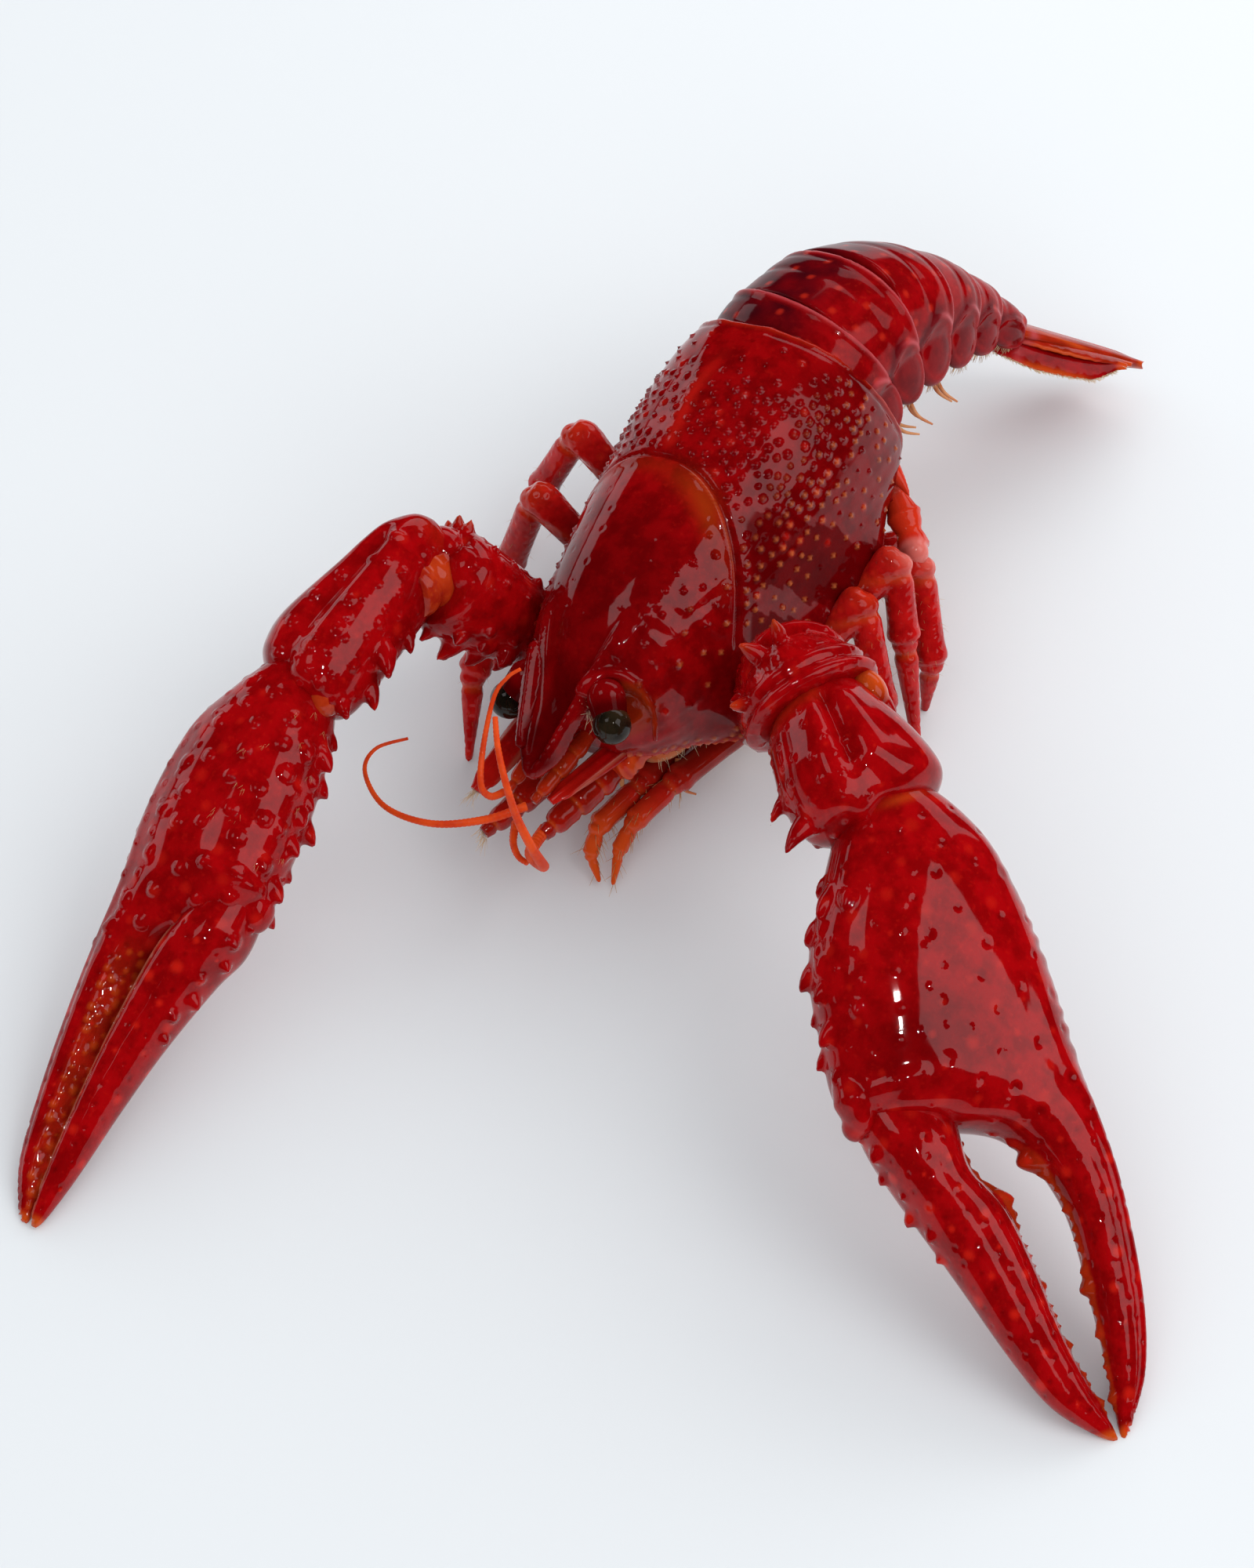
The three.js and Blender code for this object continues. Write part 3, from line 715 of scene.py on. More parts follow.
@dataclass(frozen=True)
class Finish:
    """A boiled, wet shell or skin with the tints that its pieces carry, painted shade and sheen
    among them.
    """

    name: str
    base: Colour
    deep: Colour
    amber: Colour
    pale: Colour
    dark: Colour
    bright: Colour
    roughness: float = 0.3
    coat: float = 1.0
    coat_roughness: float = 0.05
    coat_ior: float = 1.36
    ior: float = 1.5
    dry: float = 0.0
    dry_from: tuple[float, float] = (0.52, 0.72)
    grain: float = 0.00003
    mottle: float = 420.0
    speckle: float = 0.16
    film: float = 330.0
    pores: float = 900.0

    def make(self) -> bpy.types.Material:
        """Build the material.

        Returns:
            The material, with its mottling, tints and wet film.
        """
        graph = Graph(self.name)
        clouds = graph.ease(graph.noise(self.mottle, 3.0, 0.6), 0.36, 0.66)
        flecks = graph.ease(graph.noise(self.mottle * 5, 2.0), 0.56, 0.74)
        tints = graph.node("ShaderNodeAttribute", {"attribute_name": "tint"}, {})
        channels = {"Color": Wire(graph, tints.outputs["Color"])}
        split = graph.node("ShaderNodeSeparateColor", {}, channels)
        amber, pale, dark = (Wire(graph, split.outputs[i]) for i in range(3))
        bright = Wire(graph, tints.outputs["Alpha"])
        colour = graph.blend(clouds, rgba(self.base), rgba(self.deep))
        for cover, tint in ((flecks * self.speckle, self.bright), (dark, self.dark),
                            (amber, self.amber), (bright, self.bright), (pale, self.pale)):
            colour = graph.blend(cover, colour, rgba(tint))
        film = graph.noise(self.film, 4.0, 0.52)
        rough = graph.noise(self.pores, 2.0) * 0.2 + (self.roughness - 0.1)
        coat = self.coat
        if self.dry:
            coat = (1.0 - graph.ease(dark, *self.dry_from) * self.dry) * self.coat
        return graph.surface(colour, rough, film, self.grain, {
            "Coat Weight": coat, "Coat Roughness": self.coat_roughness,
            "Coat IOR": self.coat_ior, "IOR": self.ior, "Specular IOR Level": 0.0})


AMBER = (0.56, 0.070, 0.008)
CREAM = (0.78, 0.50, 0.30)
SHELL = Finish(
    "boiled_shell", base=(0.29, 0.0012, 0.0024), deep=(0.17, 0.0005, 0.0014),
    amber=(0.30, 0.030, 0.003), pale=(0.66, 0.17, 0.05), dark=(0.06, 0.0003, 0.0009),
    bright=(0.52, 0.012, 0.006), dry=0.8, grain=0.00022)
TAIL = Finish(
    "tail_shell", base=(0.30, 0.0016, 0.003), deep=(0.18, 0.0006, 0.0016), amber=AMBER,
    pale=(0.46, 0.07, 0.08), dark=(0.040, 0.0014, 0.004), bright=(0.54, 0.022, 0.009),
    roughness=0.36, coat=0.6, coat_roughness=0.08)
LIMB = Finish(
    "limb_shell", base=(0.34, 0.0012, 0.0026), deep=(0.22, 0.0006, 0.0016), amber=AMBER,
    pale=CREAM, dark=(0.10, 0.0003, 0.0010), bright=(0.60, 0.014, 0.006), grain=0.00030)
LEG = Finish(
    "leg_shell", base=(0.50, 0.007, 0.007), deep=(0.36, 0.003, 0.004),
    amber=(0.62, 0.075, 0.010), pale=(0.66, 0.17, 0.14), dark=(0.12, 0.001, 0.002),
    bright=(0.64, 0.025, 0.009), roughness=0.36, coat_roughness=0.06)
FEELER = Finish(
    "feeler_skin", base=(0.72, 0.070, 0.010), deep=(0.58, 0.040, 0.008),
    amber=(0.80, 0.16, 0.02), pale=CREAM, dark=(0.26, 0.004, 0.003), bright=(0.80, 0.12, 0.02),
    roughness=0.4, coat=0.5, coat_roughness=0.12)
SOFT = Finish(
    "joint_membrane", base=(0.44, 0.034, 0.006), deep=(0.30, 0.010, 0.004),
    amber=(0.60, 0.11, 0.015), pale=CREAM, dark=(0.20, 0.003, 0.003), bright=(0.62, 0.11, 0.02),
    roughness=0.34, coat_roughness=0.06)
BELLY = Finish(
    "belly_skin", base=(0.66, 0.30, 0.13), deep=(0.52, 0.17, 0.07), amber=AMBER, pale=CREAM,
    dark=(0.20, 0.05, 0.03), bright=(0.6, 0.1, 0.03), roughness=0.42, coat=0.7)
HAIR = Finish(
    "bristle", base=(0.62, 0.36, 0.17), deep=(0.52, 0.26, 0.11), amber=AMBER,
    pale=(0.82, 0.68, 0.48), dark=(0.2, 0.1, 0.05), bright=(0.7, 0.5, 0.3),
    roughness=0.5, coat=0.2, coat_roughness=0.2)
EYE = Finish(
    "eye_glaze", base=(0.006, 0.0045, 0.003), deep=(0.018, 0.012, 0.006),
    amber=(0.06, 0.02, 0.006), pale=CREAM, dark=(0.003, 0.002, 0.002), bright=(0.03, 0.02, 0.01),
    roughness=0.15, coat_roughness=0.015, grain=0.00002)


class Bench:
    """Sets finished pieces down in the part's frame."""

    def __init__(self, shift: Array) -> None:
        """Keep the move from the design's frame to the part's."""
        self.shift = shift
        self.materials: dict[str, bpy.types.Material] = {}

    def set_down(self, clay: Clay, place: Place, name: str, finish: Finish,
                 nodes: Sequence[str] = ()) -> None:
        """Finish a piece and hand it over.

        Args:
            clay: The mesh, in its own frame.
            place: That frame.
            name: Name of the piece.
            finish: Its material.
            nodes: Solids that it stands for.
        """
        clay.points = (place.out(clay.points) + self.shift) * MM
        ob = clay.ob
        ob.name = ob.data.name = name
        tint = ob.data.attributes.new("tint", "FLOAT_COLOR", "POINT")
        tint.data.foreach_set("color", clay.tint.astype(np.float32).ravel())
        if finish.name not in self.materials:
            self.materials[finish.name] = finish.make()
        ob.data.materials.clear()
        ob.data.materials.append(self.materials[finish.name])
        use(ob)
        bpy.ops.object.shade_smooth()
        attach(ob, "root")
        if nodes:
            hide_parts(*nodes)
        LOG.info("%s: %d faces", name, len(ob.data.polygons))


# The animal


@dataclass
class Carapace:
    """The shell over head and thorax, with rostrum, orbits, groove and beads."""

    # Along, half width, top, height of the widest line and bottom
    stations: tuple = (
        (8.4, 4.2, 19.0, 15.6, 12.0), (11.5, 7.5, 21.7, 14.8, 8.8), (15.0, 8.9, 23.7, 14.2, 6.6),
        (20.0, 9.9, 25.3, 13.6, 5.0), (27.0, 11.0, 26.4, 13.0, 4.0), (33.6, 11.8, 26.9, 12.6, 3.6),
        (40.0, 12.3, 27.5, 12.6, 3.6), (46.0, 11.9, 27.7, 12.8, 4.0), (50.0, 10.6, 27.4, 13.4, 5.4))
    # Along, half width, top and bottom
    rostrum: tuple = (
        (1.2, 0.3, 18.4, 17.4), (2.4, 0.9, 19.1, 17.3), (3.8, 1.75, 19.9, 17.4),
        (8.0, 3.0, 21.6, 17.9), (14.7, 5.0, 24.3, 19.4), (18.5, 5.2, 24.9, 21.0))
    length: float = 50.0
    hollow: float = 2.5
    vault_power: float = 0.88
    skirt_power: float = 0.68
    rear_lobe: float = 2.0
    rear_tuck: float = 4.2
    groove_apex: float = 33.6
    groove_sweep: float = 12.5
    orbit: tuple = (6.6, 8.5, 19.1)
    orbit_radii: tuple = (3.1, 3.5, 2.9)
    brow: tuple = ((3.3, 9.2, 21.3), (3.9, 10.9, 21.8), (5.2, 12.3, 21.1), (6.9, 12.4, 19.2),
                   (8.0, 11.5, 16.9), (8.1, 9.9, 14.6))
    leaf: tuple = ((0, 0, 0, 0.12, 0.1, 0.3), (2.5, 0, 0, 0.75, 0.13, 0.5),
                   (6.5, 0, 0, 1.0, 0.15, 0.6), (9.0, 0, 0, 0.6, 0.13, 0.5),
                   (10.3, 0, 0, 0.15, 0.1, 0.3))
    leaf_ends: tuple = ((-1.3, 3.0, 19.9), (-3.3, 12.5, 23.7))
    leaf_up: tuple = (0.25, -0.13, 0.92)
    groove: tuple = ((0.0, 0.26, -0.45), (-0.6, 0.4, 0.14))
    hind_rim: tuple = ((0.2, 0.25, 0.12), (0.75, 0.25, -0.1))
    strip_rise: float = 0.16
    keel_rise: float = 0.22
    edge_rise: float = 0.25
    crest_rise: float = 0.5
    ridge_rise: float = 0.62
    ridge_start: float = 13.7
    ridge_length: float = 6.5
    bead_gap: float = 1.06
    cheek_gap: float = 1.75
    bead_radius: float = 0.38
    bead_rise: float = 0.27
    bead_lean: tuple = (0, -0.4, 0)
    pit_gap: float = 2.1
    pit_radius: float = 0.32
    pit_depth: float = 0.06
    seam_gap: float = 0.85
    seam_radius: float = 0.34
    seam_rise: float = 0.2
    grain: float = 0.228

    def arch(self, rows: Array, c: Array, s: Array) -> Array:
        """Rings of the arched shell.

        Args:
            rows: Rows of along, half width, top, widest height and bottom.
            c: Cosine around the ring.
            s: Sine around the ring.

        Returns:
            The points.
        """
        y, half, top, mid, bottom = rows.T
        tall = np.where(s > 0, top - mid, mid - bottom)
        power = np.where(s > 0, self.vault_power, self.skirt_power)
        rear = ease(y, self.length - 9, self.length)
        along = y + rear * self.lobe(c, s)
        return np.stack([half * soften(c, 0.84), along, mid + tall * soften(s, power)], 1)

    def lobe(self, c: Array, s: Array) -> Array:
        """How far the hind margin reaches back around the ring."""
        return c * c * self.rear_lobe - np.where(s < 0, s * s * self.rear_tuck, 0)

    def beak(self, rows: Array, c: Array, s: Array) -> Array:
        """Rings of the hollowed rostrum."""
        y, half, top, bottom = rows.T
        x = half * soften(c, 0.6)
        edge = bottom + 0.55 * (top - bottom)
        dip = self.hollow * np.minimum(1, half / 3) * (1 - (x / half) ** 2)
        height = np.where(s > 0, top - dip - edge, edge - bottom)
        return np.stack([x, y, edge + height * soften(s, 0.6)], 1)

    def sine(self, points: Array) -> Array:
        """How high each point sits around its ring, 1 on the back and 0 at the widest line."""
        rows = smooth_rows(self.stations, 200)
        top, mid, bottom = (np.interp(points[:, 1], rows[:, 0], rows[:, i]) for i in (2, 3, 4))
        up = points[:, 2] - mid
        high = np.clip(up / (top - mid), 0, 1) ** (1 / self.vault_power)
        low = np.clip(-up / (mid - bottom), 0, 1) ** (1 / self.skirt_power)
        return np.where(up > 0, high, -low)

    def build(self, bench: Bench) -> None:
        """Model and dress the shell."""
        clay = ring_skin(smooth_rows(self.stations, 90), 96, self.arch)
        clay.join([ring_skin(smooth_rows(self.rostrum, 60), 48, self.beak)])
        clay.knead(0.3, 2)
        for _, side in SIDES:
            centre = (side * self.orbit[0], *self.orbit[1:])
            clay.carve(ball(centre, self.orbit_radii, 40))
        for _, side in SIDES:
            path = even_path(self.brow, 40) * (side, 1, 1)
            clay.join([tube(path, np.linspace(0.6, 0.3, 40), 16)])
        leaf = ring_skin(smooth_rows(self.leaf, 24), 24, oval)
        clay.join([leaf.moved(Place.aim(*self.leaf_ends, up=self.leaf_up))])
        clay.knead(self.grain, 5)
        self.relief(clay)
        bench.set_down(clay, BODY, "carapace_shell", SHELL, ("carapace",))

    def relief(self, clay: Clay) -> None:
        """Press in the groove, raise rims, ridges and beads, and tint them."""
        p = clay.points
        x, y, z = p.T
        s = self.sine(p)
        c = np.sqrt(np.clip(1 - s * s, 0, 1))
        slope = np.sqrt(1 + (self.groove_sweep * c / 12.5) ** 2)
        behind = (y - self.groove_apex + self.groove_sweep * (1 - s)) / slope
        from_rear = self.length + self.lobe(c, s) - y
        off_strip = np.abs(x) - (0.9 + 1.9 * ease(np.abs(y - 38), 2, 12))
        back = ease(behind, 0.3, 1.6) * ease(s, 0.75, 0.9)
        keel = back * hill(x + 0.25 * np.sin(0.5 * y), 0.75) * ease(from_rear, 2, 9)
        low_edge = hill(s + 0.62, 0.07) * (y > 9)
        height = ribs(behind, self.groove) * ease(s, 0.0, 0.2)
        height += ribs(from_rear, self.hind_rim)
        height += self.strip_rise * back * hill(off_strip, 1.0)
        flare = 3.4 * ease(y, 12.5, 20.5) - 0.8 * ease(y, 22, 28)
        height += flare * ease(46.5 - y, 0, 9) * hill(s + 0.55, 0.3)
        height += self.keel_rise * keel + self.ridges(p)
        wave = np.sin(1.7 * y + 2.1 * z) * np.sin(1.9 * z - 1.1 * y)
        wave += 0.6 * np.sin(0.9 * y + 2.6 * z + 1)
        swell = 0.018 + 0.022 * ease(-behind, 0, 4)
        height += swell * wave * ease(-s, -0.9, -0.6)
        clay.lift(height + self.edge_rise * low_edge)
        clay.stain(Tint.BRIGHT, 0.7 * hill(from_rear, 0.35) + 0.5 * keel)
        clay.stain(Tint.BRIGHT, 0.5 * low_edge)
        clay.stain(Tint.AMBER, 0.45 * hill(from_rear - 0.1, 0.3))
        self.tint_groove_and_orbits(clay, p, s, behind)
        self.shade(clay, p, s, behind)
        self.beads(clay, s, behind, from_rear, off_strip)

    def tint_groove_and_orbits(self, clay: Clay, p: Array, s: Array, behind: Array) -> None:
        """Amber and cream along the groove and around the orbits; the thin cream line on the
        groove's lip is partly a painted highlight.

        Args:
            clay: The shell.
            p: Its points before the relief.
            s: Height of each point around its ring.
            behind: Distance behind the groove.
        """
        x, y, z = p.T
        left = ease(x, -2, 4)
        clay.stain(Tint.AMBER, 0.75 * left * hill(behind + 1.4, 1.3) * hill(s - 0.86, 0.13))
        clay.stain(Tint.AMBER, 0.2 * hill(behind + 1.2, 1.0) * ease(s, 0.3, 0.7))
        # thin cream line on the groove's lip: partly its own colour, partly a painted highlight
        lip = left * hill(behind + 0.5, 0.1) * ease(s, 0.3, 0.6) * (s < 0.96)
        clay.stain(Tint.PALE, 0.22 * lip)
        away = norm((np.abs(p) - np.array(self.orbit)) / self.orbit_radii, axis=1)
        rim = 0.55 * hill(away - 1.04, 0.12) * (y > 9)
        clay.stain(Tint.AMBER, rim + 0.5 * hill(away - 1.3, 0.2) * ease(-z, -18.5, -16))

    def shade(self, clay: Clay, p: Array, s: Array, behind: Array) -> None:
        """Darken the rostrum's trough, the head and blotches, and paint shade on the flanks; the
        darkest film is drier.

        Args:
            clay: The shell.
            p: Its points before the relief.
            s: Height of each point around its ring.
            behind: Distance behind the groove.
        """
        x, y, _ = p.T
        trough = ease(-np.abs(x), -2.6, -1.0) * ease(-y, -16, -10)
        head = ease(-behind, 2, 7) * ease(s, 0.4, 0.9) * hill(y - 19, 11)
        # flank: mask of painted shade on the lower flank; front, wet and dry: mask of painted shade
        # over the flank's front, with a ragged gap
        flank = ease(-s, -0.8, -0.55) * ease(behind, -6, 2)
        ragged = 0.35 * np.sin(5.5 * y + 9 * s) + 0.3 * np.sin(17 * s)
        front = ease(38.6 - 8 * s + ragged - y, 0, 0.8) * ease(-s, -0.72, -0.58)
        wet = ease(1.5 + ragged - np.abs(y - 28.8 + 9 * s), 0, 0.6)
        dry = ease(x, -2, 4) * front * (1 - wet * ease(-s, -0.3, -0.15))
        blotch = 0.5 + 0.5 * np.sin(0.55 * y + 2 * s) * np.sin(0.7 * x + 1.3)
        clay.stain(Tint.DARK, 0.75 * trough * ease(s, 0.5, 0.8))
        clay.stain(Tint.DARK, 0.5 * head)
        # painted shade on the lower flank and over the front of the flank, which also dulls the
        # film there
        clay.stain(Tint.DARK, 0.5 * flank)
        clay.stain(Tint.DARK, 0.76 * dry * ease(behind, 0.4, 2))
        clay.stain(Tint.DARK, 0.6 * blotch * ease(behind, 1, 5) * hill(s - 0.62, 0.3))

    def ridges(self, p: Array) -> Array:
        """Crests on the rostrum's margins and behind the orbits."""
        x, y, z = p.T
        rows = smooth_rows(self.rostrum, 80)
        half = np.interp(y, rows[:, 0], rows[:, 1])
        high = np.interp(y, rows[:, 0], rows[:, 2])
        on_top = (z > high - 2.4) * ease(18 - y, 0, 5) * ease(y, 0.5, 2)
        crest = self.crest_rise * hill(np.abs(x) - 0.84 * half, 0.36) * on_top
        along = np.clip((y - self.ridge_start) / self.ridge_length, 0, 1)
        off = y - self.ridge_start - self.ridge_length * along
        away = np.hypot(np.abs(x) - (4.9 + 1.7 * along), off)
        knots = 0.75 + 0.25 * np.cos(2 * np.pi * y / 1.3) * ease(along, 0.4, 0.7)
        ridge = self.ridge_rise * (1 - 0.5 * along) * knots * hill(away, 0.4) * (z > 17)
        return crest + ridge

    def beads(self, clay: Clay, s: Array, behind: Array, from_rear: Array,
              off_strip: Array) -> None:
        """Raise the beads of the thorax and the cheeks.

        Args:
            clay: The shell.
            s: Height of each point around its ring.
            behind: Distance behind the groove.
            from_rear: Distance ahead of the hind margin.
            off_strip: Distance outside the smooth strip on the back.
        """
        y = clay.points[:, 1]
        wobble = 0.3 * np.sin(0.9 * y) * np.sin(7 * s)
        thorax = (behind > 0.9) & (from_rear > 1.8) & (s > -0.45)
        thorax &= (off_strip > -0.35) | (s < 0.8)
        rear = ease(-from_rear, -7, -3) * ease(s, 0.6, 0.8)
        wide = self.bead_gap + 0.8 * ease(-s, -0.45, 0.3) + 1.0 * rear + wobble * 0.6
        cheek = (behind < -1.2) & (y > 12.5) & (s > 0.0) & (s < 0.8) & (y < 30)
        gap = np.where(thorax, wide, 0)
        gap = np.where(cheek, self.cheek_gap + 0.9 * ease(22 - y, 0, 6), gap)
        picked = np.array(clay.spots(gap, 5))
        draw = default_rng(8).uniform(0.6, 1.15, len(picked))
        small = np.where(s[picked] > 0.3, 1.0, 0.75) * (1 - 0.3 * rear[picked])
        radii = self.bead_radius * draw * small
        rise = clay.domes(picked, radii, 0.8)
        chosen = default_rng(9).random(len(picked)) < 0.7
        tips = clay.domes(picked[(s[picked] < 0.7) & chosen], 0.33, 1.2)
        clay.stain(Tint.PALE, 0.6 * tips * ease(-s, -0.8, -0.2))
        # painted shade in a ring round each bead's base on the upper shell; it also dulls the film
        # there
        rims = (clay.domes(picked, radii * 1.5) - rise).clip(0, 1)
        clay.stain(Tint.DARK, 0.75 * rims * ease(s, 0.35, 0.7))
        clay.stain(Tint.BRIGHT, 0.5 * clay.domes(picked[::9], 0.55))
        clay.lift(self.bead_rise * rise, self.bead_lean)
        head = (behind < -1.5) & (s > 0.3) & (y > 15)
        pits = clay.spots(np.where(head, self.pit_gap, 0), 11)
        clay.lift(-self.pit_depth * clay.domes(pits, self.pit_radius))
        edge = (np.abs(s + 0.6) < 0.1) & (y > 9) & (y < 33)
        grains = clay.spots(np.where(edge, self.seam_gap, 0), 12)
        rise = clay.domes(grains, self.seam_radius, 0.9)
        clay.stain(Tint.PALE, 0.5 * rise)
        clay.lift(self.seam_rise * rise)


@dataclass
class Eyes:
    """The stalked eyes."""

    centre: tuple = (6.4, 8.0, 19.1)
    radius: float = 1.85
    dome: tuple = (4.9, 10.1, 20.2)
    dome_radius: float = 1.9
    neck_radii: tuple = (1.9, 1.62)
    facet_gap: float = 0.2
    facet_radius: float = 0.14
    facet_depth: float = 0.02

    def build(self, bench: Bench) -> None:
        """Model both eyes and their stalks."""
        for name, side in SIDES:
            centre = np.array([side, 1, 1]) * self.centre
            dome = np.array([side, 1, 1]) * self.dome
            eye = ball(centre, (self.radius,) * 3, 64)
            behind = ease(eye.points[:, 1], centre[1], centre[1] + 1.8)
            eye.stain(Tint.AMBER, 0.6 * behind)
            facets = eye.spots(self.facet_gap, 3)
            eye.lift(-self.facet_depth * eye.domes(facets, self.facet_radius))
            bench.set_down(eye, BODY, f"eye_{name}_globe", EYE, (f"eye_{name}",))
            stalk = ball(dome, (self.dome_radius,) * 3, 40)
            path = np.linspace(dome, centre + 0.25 * (dome - centre), 12)
            neck = tube(path, np.linspace(*self.neck_radii, 12), 32)
            stalk.join([neck]).knead(0.14, 4)
            ahead = (stalk.points - dome) @ unit(centre - dome)
            # darker tone all over, with painted shade growing towards the eye
            stalk.stain(Tint.DARK, 0.45 + 0.5 * ease(ahead, 0.0, 1.5))
            node = f"eyestalk_{name}"
            bench.set_down(stalk, BODY, f"{node}_neck", SHELL, (node,))


@dataclass
class Claw:
    """One claw arm: merus, carpus, palm with its fixed finger, and dactyl."""

    name: str
    side: int
    shoulder: tuple
    elbow: tuple
    wrist: tuple
    tip: tuple
    tilt: float
    # Along, inner and outer edge, rise and drop
    palm: tuple
    dactyl: tuple
    carpus: tuple
    merus: tuple
    # First and last place, number, height, base radius and lift
    palm_spines: tuple
    carpus_spines: tuple
    merus_spines: tuple
    # Root, direction and height
    extra_thorns: tuple
    # Middle, drift, first and last place, depth, width and swell of the lobes beside it
    furrow: tuple
    # Middle and half sizes
    boss: tuple
    # Place and height of large teeth, on the fixed and on the movable finger
    teeth: tuple
    rim_rise: float
    fold_rise: float
    root_amber: float
    edge_amber: float
    knobs: bool
    collar: tuple = ()
    lumps: tuple = ()
    grain: float = 0.24
    collar_folds: tuple = ((0.7, 0.45, 0.22), (1.7, 0.4, -0.32), (2.6, 0.5, 0.2))
    palm_ribs: tuple = ((-0.35, 0.3, 0.16), (-0.02, 0.16, -0.06), (0.4, 0.26, 0.08))
    dactyl_ribs: tuple = ((-0.35, 0.3, 0.16), (0.05, 0.18, -0.06), (0.45, 0.26, 0.06))
    pit_gap: float = 1.6
    pit_radius: float = 0.34
    pit_depth: float = 0.1
    tooth_gap: float = 0.95
    tuft_count: int = 14
    tuft_hairs: int = 5
    wrist_girth: float = 3.3

    def frame_of(self, piece: str) -> Place:
        """The frame of one piece of the arm."""
        ends = {"merus": (self.shoulder, self.elbow), "carpus": (self.elbow, self.wrist)}
        start, end = ends.get(piece, (self.wrist, self.tip))
        return Place.aim(start, end, roll=-self.side * math.radians(self.tilt))

    def rows(self, stations: Rows, count: int) -> Array:
        """Rings of a piece as [along, across, height, half width, rise, drop]."""
        y, inner, outer, rise, drop = smooth_rows(stations, count).T
        half = np.maximum((inner - outer) / 2, 0.15)
        middle = self.side * 0.5 * (inner + outer)
        return np.stack([y, middle, 0 * y, half, np.maximum(rise, 0.15), np.maximum(drop, 0.15)], 1)

    def across(self, points: Array, stations: Rows) -> tuple[Array, Array]:
        """Where points sit on a piece.

        Args:
            points: Points of the piece's frame.
            stations: The piece's stations.

        Returns:
            From -1 at the outer to 1 at the inner edge, and height over the middle by the rise.
        """
        rows = self.rows(stations, 160)
        middle, half, rise = (np.interp(points[:, 1], rows[:, 0], rows[:, i]) for i in (1, 3, 4))
        return self.side * (points[:, 0] - middle) / half, points[:, 2] / rise

    def spines(self, stations: Rows, row: Numbers) -> list[Clay]:
        """A staggered row of spines on the inner edge.

        Args:
            stations: Stations of the piece that carries them.
            row: First and last place, number, height, base radius and lift.

        Returns:
            The spines.
        """
        first, last, count, height, radius, lift = row
        rows = self.rows(stations, 120)
        made = []
        for i in range(count):
            y = first + (last - first) * i / (count - 1)
            ring = rows[np.argmin(np.abs(rows[:, 0] - y))]
            up = lift + (0.17 if i % 2 else -0.17)
            out = self.side * math.sqrt(1 - up * up)
            root = (ring[1] + 0.94 * ring[3] * out, y, 0.94 * up * (ring[4] if up > 0 else ring[5]))
            size = 0.8 + 0.2 * ((i * 2) % 3)
            girth = radius * size * 1.2
            made.append(thorn(root, (out, 0.25, up), height * size, girth, (0, 0.3, 0)))
        return made

    def hand_over(self, bench: Bench, clay: Clay, piece: str) -> None:
        """Set down one piece of the arm."""
        node = f"claw_{self.name}_{piece}"
        bench.set_down(clay, self.frame_of(piece), f"{node}_shell", LIMB, (node,))

    def pit(self, clay: Clay, where: Array, seed: int) -> None:
        """Press small dark pits into a finger."""
        picked = clay.spots(np.where(where, self.pit_gap, 0), seed)
        pits = clay.domes(picked, self.pit_radius, 1.2)
        clay.lift(-self.pit_depth * pits)
        clay.stain(Tint.DARK, 0.45 * pits)

    def build(self, bench: Bench) -> None:
        """Model and dress the whole arm."""
        self.build_merus(bench)
        self.build_carpus(bench)
        self.build_palm(bench)
        self.build_dactyl(bench)
        self.build_membranes(bench)

    def build_merus(self, bench: Bench) -> None:
        """The upper arm, with the ringed collar at its far end on the smooth claw."""
        merus, carpus = self.frame_of("merus"), self.frame_of("carpus")
        clay = ring_skin(self.rows(self.merus, 50), 48, oval)
        first, last, count, height, radius, lift = self.merus_spines
        clay.join(self.spines(self.merus, self.merus_spines))
        thorns = [thorn(root, towards, tall, 0.46 * tall)
                  for root, towards, tall in self.extra_thorns]
        if self.knobs:
            clay.join([ball(centre, radii) for centre, radii in self.lumps])
            upper = (first - 3, last - 2, count, height * 0.6, radius * 0.8, lift + 0.3)
            clay.join(self.spines(self.merus, upper))
            clay.join(thorns + self.spines(self.merus, (first, last - 1.0, 6, 0.9, 0.5, 0.8)))
        else:
            collar = ring_skin(self.rows(self.collar, 40), 60, oval).join(thorns)
            around = Place(merus.turn.T @ carpus.turn, merus.into(carpus.origin))
            clay.join([collar.moved(around)])
        clay.knead(self.grain, 3)
        p = carpus.into(merus.out(clay.points))
        if not self.knobs:
            x, y, z = p.T
            start, from_end = self.collar[0][0], self.collar[-1][0] - y
            height = ribs(from_end, self.collar_folds)
            height += 0.04 * np.sin(36 * np.arctan2(z, x)) * ease(from_end, 3, 4)
            clay.lift(height * ease(y, start, start + 1.5))
        clay.lift(0.12 * clay.domes(clay.spots(1.7, 22), 0.34, 0.9))
        clay.stain(Tint.AMBER, 0.4 * self.near_thorns(clay.points if self.knobs else p))
        self.freckle(clay, 3.4, 21)
        self.hand_over(bench, clay, "merus")

    def near_thorns(self, p: Array) -> Array:
        """How near points are to the tips of the elbow's thorns."""
        tips = [np.array(root) + unit(towards) * tall for root, towards, tall in self.extra_thorns]
        return hill(np.min([norm(p - tip, axis=1) for tip in tips], axis=0), 0.9)

